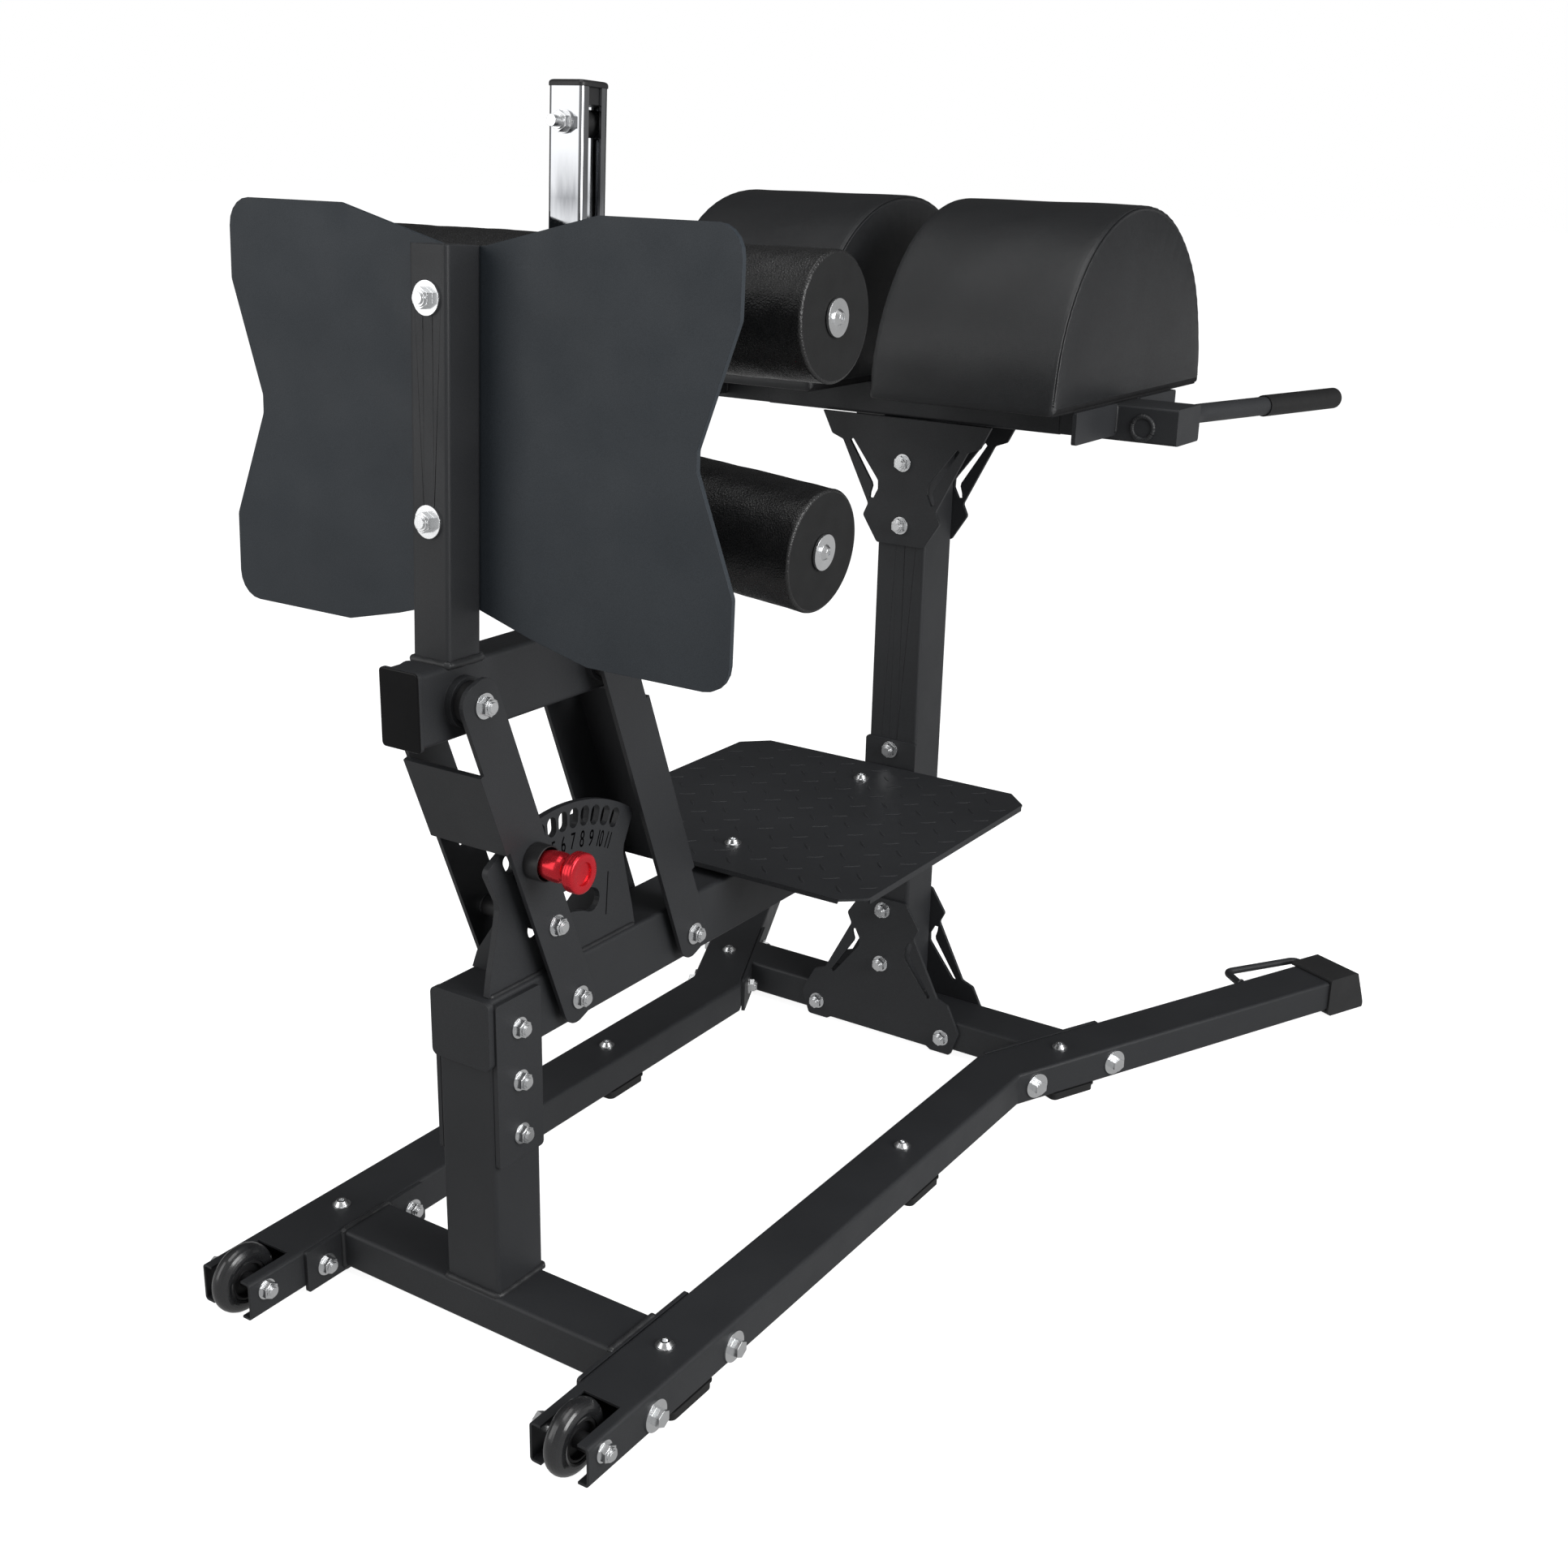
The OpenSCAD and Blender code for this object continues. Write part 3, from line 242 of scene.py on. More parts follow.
    p = Mat("black_plastic", (0.018, 0.018, 0.019), 0.45)
    p.shade(30.0, 0.10, 900.0, 0.15)
    p.bump(p.noise(800.0, 2.0), 0.18, 0.0003)
    M["plastic"] = p.m

    p = Mat("gloss_plastic", (0.0055, 0.0055, 0.0060), 0.22, spec=0.18)
    p.shade(30.0, 0.10, 700.0, 0.12)
    p.bump(p.noise(500.0, 2.0), 0.06, 0.0002)
    M["gloss"] = p.m

    p = Mat("rubber_black", (0.017, 0.017, 0.0175), 0.62, spec=0.4)
    p.shade(26.0, 0.14, 700.0, 0.20)
    p.bump(p.noise(1000.0, 3.0), 0.30, 0.0004)
    M["rubber"] = p.m

    p = Mat("grip_foam", (0.012, 0.012, 0.0125), 0.55, spec=0.4)
    p.shade(60.0, 0.12, 900.0, 0.25)
    p.bump(p.voronoi(900.0, "F1"), 0.35, 0.0004)
    M["grip"] = p.m

    p = Mat("end_cap_rubber", (0.024, 0.0243, 0.025), 0.55, spec=0.4)
    p.shade(20.0, 0.12, 800.0, 0.18)
    p.bump(p.noise(900.0, 3.0), 0.25, 0.0004)
    M["cap"] = p.m

    p = Mat("polyurethane_smoke", (0.020, 0.0205, 0.022), 0.20, spec=0.6)
    p.b.inputs["Coat Weight"].default_value = 0.5
    p.b.inputs["Coat Roughness"].default_value = 0.12
    p.shade(30.0, 0.16, 300.0, 0.12)
    ring = p.noise(220.0, 2.0)
    p.bump(ring, 0.08, 0.0006)
    p.set("Roughness", p.remap(p.noise(60.0, 4.0), 0.16, 0.34, 0.3, 0.7))
    M["tyre"] = p.m

    # plywood, with the grain along Y
    p = Mat("plywood", (0.42, 0.31, 0.19), 0.65)
    g = p.noise(30.0, 6.0, 0.6, vec=p.mapped((6, 0.6, 6)))
    p.set("Base Color", p.mix(p.remap(g, 0, 1, 0.3, 0.7), (0.33, 0.23, 0.13), (0.50, 0.39, 0.25)))
    p.bump(g, 0.2, 0.0006)
    M["board"] = p.m

    p = Mat("dust_cloth", (0.016, 0.016, 0.017), 0.9, spec=0.2)
    weave = p.n("ShaderNodeTexWave", Vector=p.mapped((1, 1, 1)), Scale=600.0, Distortion=1.0)
    p.bump(weave.outputs["Fac"], 0.3, 0.0004)
    p.shade(50.0, 0.15, 700.0, 0.25)
    M["dust"] = p.m

    p = Mat("thread_black", (0.006, 0.006, 0.0065), 0.6, spec=0.3)
    p.bump(p.noise(3000.0, 2.0), 0.3, 0.0002)
    p.shade(400.0, 0.2)
    M["thread"] = p.m

    # painted shade: matt near-black with no gloss, standing for the dark depth of cut numerals
    p = Mat("digits_painted_shade", (0.0015, 0.0015, 0.0017), 1.0, spec=0.0)
    p.shade(300.0, 0.2)
    p.bump(p.noise(1500.0, 2.0), 0.2, 0.0002)
    M["digits"] = p.m

    p = Mat("weld_painted", (0.031, 0.032, 0.034), 0.42, spec=0.45)
    p.shade(60.0, 0.12, 900.0, 0.20)
    p.bump(p.noise(900.0, 3.0), 0.35, 0.0005)
    M["weld"] = p.m
    return M


M = make_materials()


def paint(node, key):
    me = nodes[node].data
    me.materials.clear()
    me.materials.append(M[key])


FRAME_NODES = """rail_right rail_left rear_crossmember front_crossmember rear_upright side_plates main_beam sector_plate
platform front_upright lower_gussets upper_gussets pad_beam pad_arms hand_bars floor_handles rear_link front_link
carrier_beam footplate_post""".split()
for k in FRAME_NODES:
    paint(k, "frame")
paint("footplate", "plate")
for k in "foot_screws base_bolts frame_bolts pivot_bolts wheel_axles limit_bolt pop_pin front_top_bolt rear_top_bolt carrier_bolts lower_axles upper_axle".split():
    paint(k, "zinc")
paint("limit_bolt", "zinc_dark_middle")
paint("chrome_post", "chrome")
for k in "pivot_bushes pin_housing carrier_bosses post_cap carriage_block hub_right hub_left roller_core_ur roller_core_ul roller_core_lr roller_core_ll".split():
    paint(k, "plastic")
for k in "rail_feet bumper".split():
    paint(k, "rubber")
paint("end_caps", "cap")
paint("hand_grips", "grip")
paint("tyre_right", "tyre")
paint("tyre_left", "tyre")
paint("pad_boards", "dust")
paint("pin_knob", "red")


def soften(node, width, segments=2, angle=32):
    """Rounds a CAD node's sharp edges in the render; the mesh under it stays as packed."""
    o = nodes[node]
    w = o.modifiers.new("weld", "WELD")
    w.merge_threshold = 0.00001
    b = o.modifiers.new("bevel", "BEVEL")
    b.width = width
    b.segments = segments
    b.limit_method = "ANGLE"
    b.angle_limit = rad(angle)
    b.use_clamp_overlap = True
    b.harden_normals = False
    b.face_strength_mode = "FSTR_ALL"
    n = o.modifiers.new("normals", "WEIGHTED_NORMAL")
    n.keep_sharp = True
    n.use_face_influence = True
    n.weight = 90


def crisp(node, angle=30):
    """Splits a CAD node's shading at its sharp edges; the material rounds them."""
    o = nodes[node]
    w = o.modifiers.new("weld", "WELD")
    w.merge_threshold = 0.00001
    e = o.modifiers.new("split", "EDGE_SPLIT")
    e.use_edge_angle = True
    e.use_edge_sharp = False
    e.split_angle = rad(angle)


# ---------- mesh helpers ----------


def add_mesh(name, verts, faces, body, mats, smooth=True, face_mats=None, angle=None):
    me = bpy.data.meshes.new(name)
    me.from_pydata([tuple(v) for v in verts], [], [tuple(int(i) for i in f) for f in faces])
    me.validate()
    for m in mats:
        me.materials.append(m)
    if face_mats is not None:
        me.polygons.foreach_set("material_index", np.asarray(face_mats, dtype=np.int32))
    me.polygons.foreach_set("use_smooth", [smooth] * len(me.polygons))
    if angle is not None:
        me.set_sharp_from_angle(angle=rad(angle))
    me.update()
    o = bpy.data.objects.new(name, me)
    scene.collection.objects.link(o)
    if body:
        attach(o, body)
    return o


def frame_of(d):
    d = Vector(d).normalized()
    a = Vector((0, 0, 1)) if abs(d.z) < 0.9 else Vector((1, 0, 0))
    u = d.cross(a).normalized()
    return d, u, d.cross(u).normalized()


def revolve(profile, origin, axis, segments=96):
    """Closed surface of revolution. profile is (along, radius) pairs; a radius of 0 is a pole."""
    d, u, v = frame_of(axis)
    o = Vector(origin)
    verts, rows, faces = [], [], []
    for s, r in profile:
        if r < 1e-7:
            rows.append([len(verts)])
            verts.append(o + d * s)
        else:
            start = len(verts)
            for i in range(segments):
                a = 2 * math.pi * i / segments
                verts.append(o + d * s + (u * math.cos(a) + v * math.sin(a)) * r)
            rows.append(list(range(start, start + segments)))
    for a, b in zip(rows, rows[1:]):
        if len(a) == 1 and len(b) == 1:
            continue
        for i in range(segments):
            j = (i + 1) % segments
            if len(a) == 1:
                faces.append((a[0], b[j], b[i]))
            elif len(b) == 1:
                faces.append((a[i], a[j], b[0]))
            else:
                faces.append((a[i], a[j], b[j], b[i]))
    return verts, faces


def capsules(items, sides=6):
    """Many small round-ended rods in one mesh: (centre, direction, half length, radius)."""
    V, F = [], []
    for c, d, h, r in items:
        d, u, v = frame_of(d)
        base = len(V)
        prof = [(-h, 0.0), (-h * 0.82, r * 0.75), (-h * 0.35, r), (h * 0.35, r), (h * 0.82, r * 0.75), (h, 0.0)]
        rows = []
        for s, rr in prof:
            if rr == 0:
                rows.append([len(V)])
                V.append(c + d * s)
            else:
                st = len(V)
                for i in range(sides):
                    a = 2 * math.pi * i / sides
                    V.append(c + d * s + (u * math.cos(a) + v * math.sin(a)) * rr)
                rows.append(list(range(st, st + sides)))
        for a, b in zip(rows, rows[1:]):
            for i in range(sides):
                j = (i + 1) % sides
                if len(a) == 1:
                    F.append((a[0], b[j], b[i]))
                elif len(b) == 1:
                    F.append((a[i], a[j], b[0]))
                else:
                    F.append((a[i], a[j], b[j], b[i]))
    return V, F


def bead(points, r, closed=False, sides=8, step=0.0022, ripple=0.16, squash_to=None):
    """A weld bead: a rippled half-buried tube along a path, in metres."""
    pts = [Vector(p) for p in points]
    if closed:
        pts.append(pts[0])
    path = []
    for a, b in zip(pts, pts[1:]):
        n = max(2, int((b - a).length / (step / 2)))
        for i in range(n):
            path.append(a.lerp(b, i / n))
    if not closed:
        path.append(pts[-1])
    n = len(path)
    V, F = [], []
    s = 0.0
    for i, p in enumerate(path):
        q0 = path[i - 1] if (i > 0 or closed) else path[0]
        q1 = path[(i + 1) % n] if (i < n - 1 or closed) else path[-1]
        t = q1 - q0
        if t.length < 1e-9:
            t = Vector((1, 0, 0))
        d, u, v = frame_of(t)
        if i > 0:
            s += (p - path[i - 1]).length
        rr = r * (1 - ripple + ripple * 2 * abs(math.sin(math.pi * s / step))) * (1 + 0.06 * math.sin(s * 310.0))
        if not closed:
            e = min(i, n - 1 - i)
            rr *= (0.25, 0.6, 0.85)[e] if e < 3 else 1.0
        for k in range(sides):
            a = 2 * math.pi * k / sides
            V.append(p + (u * math.cos(a) + v * math.sin(a)) * rr)
    m = n if closed else n - 1
    for i in range(m):
        for k in range(sides):
            a, b = i * sides + k, i * sides + (k + 1) % sides
            c, e = ((i + 1) % n) * sides + (k + 1) % sides, ((i + 1) % n) * sides + k
            F.append((a, b, c, e))
    if not closed:
        F.append(tuple(range(sides - 1, -1, -1)))
        F.append(tuple((n - 1) * sides + k for k in range(sides)))
    return V, F


def join(parts):
    V, F = [], []
    for v, f in parts:
        b = len(V)
        V += list(v)
        F += [tuple(i + b for i in q) for q in f]
    return V, F


def rect_loop(cx, cy, z, w, h, r=4.0, n=4):
    """Corner-rounded rectangle at height z, in the millimetre frame."""
    out = []
    for qx, qy, a0 in ((1, 1, 0), (-1, 1, 90), (-1, -1, 180), (1, -1, 270)):
        for i in range(n + 1):
            a = rad(a0 + 90 * i / n)
            out.append(W(cx + qx * (w / 2 - r) + r * math.cos(a), cy + qy * (h / 2 - r) + r * math.sin(a), z))
    return out


# ---------- pads ----------

PAD_A, PAD_B, PAD_Y, PAD_Z = 248.0, 253.0, 1161.0, 1016.0
PAD_X0, PAD_X1 = 44.0, 316.0


def pad_profile():
    """Closed outline of the pad's section in (y, z) millimetres from its base, anticlockwise from +X."""
    a, b = PAD_A - 1.0, PAD_B - 1.5
    pts = []
    t0 = math.asin(9.0 / b)
    n = 104
    for i in range(n + 1):
        t = t0 + (math.pi - 2 * t0) * i / n
        # a little fuller at the shoulders than an ellipse
        f = 1.0 + 0.006 * math.sin(2 * t) ** 2
        pts.append((a * math.cos(t) * f, b * math.sin(t) * f))
    r = 3.0
    ye = a * math.cos(t0)
    for i in range(1, 5):
        t = rad(180 + 90 * i / 4)
        pts.append((-(ye - r) + r * math.cos(t), 0.3 + r + r * math.sin(t)))
    m = 26
    for i in range(1, m):
        pts.append((-(ye - r) + 2 * (ye - r) * i / m, 0.3))
    for i in range(0, 4):
        t = rad(270 + 90 * i / 4)
        pts.append(((ye - r) + r * math.cos(t), 0.3 + r + r * math.sin(t)))
    P = np.array(pts)
    nxt, prv = np.roll(P, -1, 0), np.roll(P, 1, 0)
    T = nxt - prv
    T /= np.linalg.norm(T, axis=1)[:, None]
    N = np.stack([T[:, 1], -T[:, 0]], 1)
    return P, N, n + 1


END_R = 9.0
SEAM_S = END_R * math.pi / 4
ARC_S = [0.0, 1.8, 3.2, 4.2, 5.0, 5.6, 6.1, 6.45, 6.75, SEAM_S, 7.4, 7.7, 8.05, 8.55, 9.2, 10.0, 11.2, 12.6, END_R * math.pi / 2]


def pad_rings():
    """(x, inset, distance along the rounded end or None, scale of the end panel, side) for each ring from -X to +X."""
    hw = (PAD_X1 - PAD_X0) / 2 - 0.8
    right = []
    for s in ARC_S:
        t = s / END_R
        right.append((hw - END_R + END_R * math.sin(t), END_R * (1 - math.cos(t)), s, None))
    for k in (0.93, 0.86, 0.77, 0.67, 0.56, 0.45, 0.34, 0.22, 0.11):
        right.append((hw, END_R, None, k))
    mid = [x for x in np.linspace(-(hw - END_R), hw - END_R, 33)[1:-1]]
    rings = [(-x, d, s, k, -1) for x, d, s, k in reversed(right)]
    rings += [(x, 0.0, None, None, 0) for x in mid]
    rings += [(x, d, s, k, 1) for x, d, s, k in right]
    return rings


def inset(P, N, d, arc_n):
    """The outline moved inwards by d, with its two lower corners kept from folding over."""
    Q = P - N * d
    if d <= 2.4:
        return Q
    low, r = 0.3 + d, 0.6
    Q[:arc_n, 1] = np.maximum(Q[:arc_n, 1], low + r)
    ym = min(abs(Q[0, 0]), abs(Q[arc_n - 1, 0])) - r
    rest = len(P) - arc_n
    for i in range(rest):
        j = arc_n + i
        if i < 4:
            a = rad(180 + 90 * (i + 1) / 4)
            Q[j] = (-ym + r * math.cos(a), low + r + r * math.sin(a))
        elif i >= rest - 4:
            a = rad(270 + 90 * (i - (rest - 4)) / 4)
            Q[j] = (ym + r * math.cos(a), low + r + r * math.sin(a))
        else:
            Q[j] = (-ym + 2 * ym * (i - 3) / (rest - 7), low)
    return Q


def end_bulge(y, z):
    """How far the stuffing presses an end panel out, in millimetres."""
    a, b = PAD_A - 10.0, PAD_B - 10.5
    t = np.clip(z / 110.0, 0, 1)
    f = np.clip(1 - (y / a) ** 2 - (z / b) ** 2, 0, 1) * t * t * (3 - 2 * t)
    return 0.9 * (1 - np.exp(-3.0 * f))


def build_pad(name, node, sign, seed):
    P, N, arc_n = pad_profile()
    K = len(P)
    rings = pad_rings()
    c = np.array([0.0, PAD_B * 0.36])
    X = np.zeros((len(rings), K, 3))
    for i, (x, d, s, k, side) in enumerate(rings):
        Q = inset(P, N, d, arc_n)
        if k is not None:
            Q = c + (Q - c) * k
        X[i, :, 0] = x
        if k is not None:
            X[i, :, 0] += side * end_bulge(Q[:, 0], Q[:, 1])
        X[i, :, 1:] = Q
    V = X.reshape(-1, 3) / 1000.0
    n = len(V)
    faces = []
    for i in range(len(rings) - 1):
        for j in range(K):
            a, b = i * K + j, i * K + (j + 1) % K
            faces.append((a, b, b + K, a + K))
    tip = float(end_bulge(c[0], c[1]))
    V = np.vstack([V, [[(rings[0][0] - tip) / 1000, *(c / 1000)], [(rings[-1][0] + tip) / 1000, *(c / 1000)]]])
    L = (len(rings) - 1) * K
    for j in range(K):
        faces.append((n, (j + 1) % K, j))
        faces.append((n + 1, L + j, L + (j + 1) % K))
    # pressed out from within like stuffed vinyl, held along the seams and under the board
    V = puff(name, V, faces, rings, K, arc_n)
    # seam groove, its two ridges and the gathers beside it
    rng = np.random.RandomState(seed)
    me = bpy.data.meshes.new("tmp")
    me.from_pydata([tuple(v) for v in V], [], faces)
    nor = np.array([tuple(v.normal) for v in me.vertices])
    bpy.data.meshes.remove(me)
    arc_len = np.cumsum(np.r_[0, np.linalg.norm(np.diff(P, axis=0), axis=1)])
    ph = rng.rand(6) * 6.28
    out = V.copy()
    for i, (x, d, s, k, side) in enumerate(rings):
        if s is not None:
            u = s - SEAM_S
            h = -1.7 * math.exp(-(u / 0.50) ** 2) + 0.75 * math.exp(-((abs(u) - 2.0) / 1.1) ** 2)
            dist = abs(u)
        elif k is not None:
            h, dist = 0.0, 7.0 + (1 - k) * 200
        else:
            h, dist = 0.0, 7.0 + ((PAD_X1 - PAD_X0) / 2 - END_R - abs(x))
        g = 0.42 * math.exp(-dist / 9.0)
        w = np.zeros(K)
        for q, (f, amp) in enumerate(((0.55, 0.5), (0.83, 0.35), (0.31, 0.6))):
            w += amp * np.sin(arc_len * f + ph[q] + (0 if side > 0 else 2.0))
        top = np.zeros(K)
        edge = np.minimum(arc_len[:arc_n], arc_len[arc_n - 1] - arc_len[:arc_n])
        e = np.clip(edge / 40.0, 0, 1)
        top[:arc_n] = e * e * (3 - 2 * e)
        if k is not None:
            top *= max(0.0, (k - 0.6) / 0.4) ** 2
        hh = (h + g * w) * top
        # broad soft unevenness of the stuffing
        b = 0.35 * np.sin(arc_len * 0.021 + x * 0.045 + ph[3]) + 0.25 * np.sin(arc_len * 0.043 - x * 0.03 + ph[4])
        hh += b * top
        sl = slice(i * K, (i + 1) * K)
        out[sl] += nor[sl] * hh[:, None] / 1000.0
    o = np.array([(PAD_X0 + PAD_X1) / 2 / 1000.0, PAD_Y / 1000.0 - YM, PAD_Z / 1000.0 + FH])
    world = out * np.array([1, 1, 1]) + o
    if sign < 0:
        world = world * np.array([-1, 1, 1])
        nor = nor * np.array([-1, 1, 1])
        faces = [tuple(reversed(f)) for f in faces]
    bottom = []
    for f in faces:
        j = [q % K for q in f if q < n]
        flat = all(q < n and rings[q // K][3] is None for q in f)
        bottom.append(1 if flat and all(q >= arc_n + 3 for q in j) else 0)
    pad = add_mesh(name, world, faces, "base", [M["vinyl"], M["dust"]], face_mats=bottom)
    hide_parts(node)
    # thread along both seams
    items = []
    for i, (x, d, s, k, side) in enumerate(rings):
        if s != SEAM_S:
            continue
        row = world[i * K:i * K + arc_n]
        nr = nor[i * K:i * K + arc_n]
        seg = np.linalg.norm(np.diff(row, axis=0), axis=1)
        cum = np.r_[0, np.cumsum(seg)]
        t = 0.0035
        while t < cum[-1] - 0.003:
            j = min(int(np.searchsorted(cum, t)) - 1, len(row) - 2)
            f = (t - cum[j]) / seg[j]
            p = row[j] * (1 - f) + row[j + 1] * f
            q = nr[j] * (1 - f) + nr[j + 1] * f
            q = q / np.linalg.norm(q)
            items.append((Vector(p + q * 0.00075), Vector(row[j + 1] - row[j]), 0.00125, 0.00050))
            t += 0.0033
    v, f = capsules(items)
    add_mesh(name + "_stitches", v, f, "base", [M["thread"]])
    return pad


def puff(name, V, faces, rings, K, arc_n):
    """Cloth with inner pressure, 20 steps, no move over 4 mm."""
    me = bpy.data.meshes.new(name + "_sim")
    me.from_pydata([tuple(v) for v in V], [], faces)
    o = bpy.data.objects.new(name + "_sim", me)
    scene.collection.objects.link(o)
    pin = o.vertex_groups.new(name="pin")
    hold = []
    for i, (x, d, s, k, side) in enumerate(rings):
        for j in range(K):
            if (k is None and (j >= arc_n or j < 2 or j >= arc_n - 2)) or (s is not None and abs(s - SEAM_S) < 1.2):
                hold.append(i * K + j)
    pin.add(hold, 1.0, "REPLACE")
    c = o.modifiers.new("cloth", "CLOTH")
    st = c.settings
    st.quality = 5
    st.mass = 0.25
    st.tension_stiffness = 40
    st.compression_stiffness = 40
    st.shear_stiffness = 20
    st.bending_stiffness = 2.0
    st.use_pressure = True
    st.uniform_pressure_force = 4.0
    st.vertex_group_mass = "pin"
    st.pin_stiffness = 1.0
    st.effector_weights.gravity = 0.0
    c.collision_settings.use_collision = False
    c.point_cache.frame_start = 1
    c.point_cache.frame_end = 20
    for f in range(1, 21):
        scene.frame_set(f)
    dg = bpy.context.evaluated_depsgraph_get()
    ev = o.evaluated_get(dg).to_mesh()
    now = np.zeros(len(V) * 3)
    ev.vertices.foreach_get("co", now)
    now = now.reshape(-1, 3)
    o.evaluated_get(dg).to_mesh_clear()
    scene.frame_set(1)
    bpy.data.objects.remove(o)
    bpy.data.meshes.remove(me)
    d = now - V
    L = np.linalg.norm(d, axis=1)
    cap = 0.004
    k = np.where(L > 1e-9, cap * np.tanh(L / cap) / np.maximum(L, 1e-9), 0.0)
    return V + d * k[:, None]


build_pad("pad_cover_right", "pad_right", 1, 3)
build_pad("pad_cover_left", "pad_left", -1, 11)

# ---------- foot rollers ----------

LEAN = rad(2.4)
TOP_Y = 287 - 416 * math.sin(rad(21))
TOP_Z = 388 + 416 * math.cos(rad(21))
POST_Z = TOP_Z + 43.6
CHROME_Y = TOP_Y + 187.1


def chrome_pt(x, y, z):
    """A point measured along the leaning chromed post, in its own millimetres."""
    return W(x, CHROME_Y + y * math.cos(LEAN) + z * math.sin(LEAN), POST_Z - y * math.sin(LEAN) + z * math.cos(LEAN))


def build_roller(name, node, body, origin, axis, seed):
    """A skinned foam sleeve with rounded ends, slightly uneven, pressed in a little under the end washer."""
    x0, x1, r, e = 0.035, 0.328, 0.065, 0.0035
    prof, mark = [], []

    def add(s, rr, m):
        prof.append((s, rr))
        mark.append(m)

    add(x0, 0.0163, 1)
    for rr in (0.018, 0.024, 0.034, 0.046, 0.056, 0.0605):
        add(x0 + (0.0008 if rr < 0.02 else 0.0), rr, 1)
    for i in range(6):
        a = rad(90 * i / 5)
        add(x0 + e - e * math.cos(a), r - e + e * math.sin(a), 0)
    for s in np.linspace(x0 + 0.007, x1 - 0.007, 84):
        add(float(s), r, 0)
    for i in range(6):
        a = rad(90 * i / 5)
        add(x1 - e + e * math.sin(a), r - e + e * math.cos(a), 0)
    for rr in (0.0605, 0.056, 0.046, 0.034, 0.026, 0.0215, 0.0192, 0.0163):
        add(x1 - (0.0 if rr > 0.03 else 0.0005), rr, 1)
    seg = 144
    V, F = revolve(prof, origin, axis, seg)
    V = [Vector(v) for v in V]
    # close the bore between the first and the last ring
    last = (len(prof) - 1) * seg
    for i in range(seg):
        j = (i + 1) % seg
        F.append((last + i, last + j, j, i))
    rng = np.random.RandomState(seed)
    ph = rng.rand(8) * 6.28
    o, d = Vector(origin), Vector(axis).normalized()
    _, u, w = frame_of(axis)
    fm = []
    for row, (s, rr) in enumerate(prof):
        if rr < 0.060:
            continue
        for i in range(seg):
            a = 2 * math.pi * i / seg
            h = 0.00022 * math.sin(3 * a + s * 41 + ph[0]) + 0.00016 * math.sin(7 * a - s * 97 + ph[1]) + 0.00012 * math.sin(13 * a + s * 173 + ph[2])
            h += 0.00010 * (rng.rand() - 0.5)
            if rr >= r - 1e-6:
                V[row * seg + i] += (u * math.cos(a) + w * math.sin(a)) * (h - 0.0002)
    for row in range(len(prof) - 1):
        fm += [1 if (mark[row] == 1 and mark[row + 1] == 1) or (mark[row] == 1) != (mark[row + 1] == 1) else 0] * seg
    fm += [1] * seg
    obj = add_mesh(name, V, F, body, [M["foam"], M["foam_end"]], face_mats=fm, angle=50)
    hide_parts(node)
    return obj


up = chrome_pt(0, 22.5, 353)
build_roller("foam_roller_upper_right", "roller_foam_ur", "roller_upper_right", up, (1, 0, 0), 21)
build_roller("foam_roller_upper_left", "roller_foam_ul", "roller_upper_left", up, (-1, 0, 0), 22)
TILT = rad(5.1)
lax = Vector((math.cos(TILT), -math.sin(TILT) * math.sin(LEAN), -math.sin(TILT) * math.cos(LEAN)))
lpt = chrome_pt(22.5, 22.5, 147.5)
lo_r = lpt - lax * 0.0225
build_roller("foam_roller_lower_right", "roller_foam_lr", "roller_lower_right", lo_r, lax, 23)
build_roller("foam_roller_lower_left", "roller_foam_ll", "roller_lower_left", Vector((-lo_r.x, lo_r.y, lo_r.z)), Vector((-lax.x, lax.y, lax.z)), 24)

# ---------- platform tread ----------


def tread():
    V, F = [], []
    z = 446.0
    holes = [(0, 680), (0, 1015)]

    def bar(cx, cy, ang):
        L, w, h = 12.5, 2.6, 0.75
        c, s = math.cos(rad(ang)), math.sin(rad(ang))
        rows = []
        for t, k in ((0.0, 1.0), (0.55, 0.72), (0.9, 0.38), (1.0, 0.12)):
            ring = []
            for i in range(12):
                a = 2 * math.pi * i / 12
                px = math.copysign(abs(math.cos(a)) ** 0.8, math.cos(a)) * (L - (1 - k) * 3.2)
                py = math.sin(a) * w * (1 - 0.35 * abs(math.cos(a))) * k
                ring.append(len(V))
                V.append(W(cx + px * c - py * s, cy + px * s + py * c, z - 0.05 + h * t))
            rows.append(ring)
        for a, b in zip(rows, rows[1:]):
            for i in range(12):
                j = (i + 1) % 12
                F.append((a[i], a[j], b[j], b[i]))
        F.append(tuple(rows[-1]))
        F.append(tuple(reversed(rows[0])))

    for i in range(-5, 6):
        for j in range(-1, 11):
            for dx, dy, ang in ((0, 0, 42), (28, 25.7, -44)):
                x, y = i * 56.2 + 2.0 + dx, 652 + j * 51.4 + dy - 0.0
                if abs(x) > 232 or y < 612 or y > 1076:
                    continue
                if y < 640 and abs(x) > 212 or y > 1048 and abs(x) > 205:
                    continue
                if any((x - hx) ** 2 + (y - hy) ** 2 < 24 ** 2 for hx, hy in holes):
                    continue
                bar(x, y, ang)
    return V, F


v, f = tread()
add_mesh("platform_tread", v, f, "base", [M["frame"]], angle=40)

# ---------- numbers on the sector plate ----------


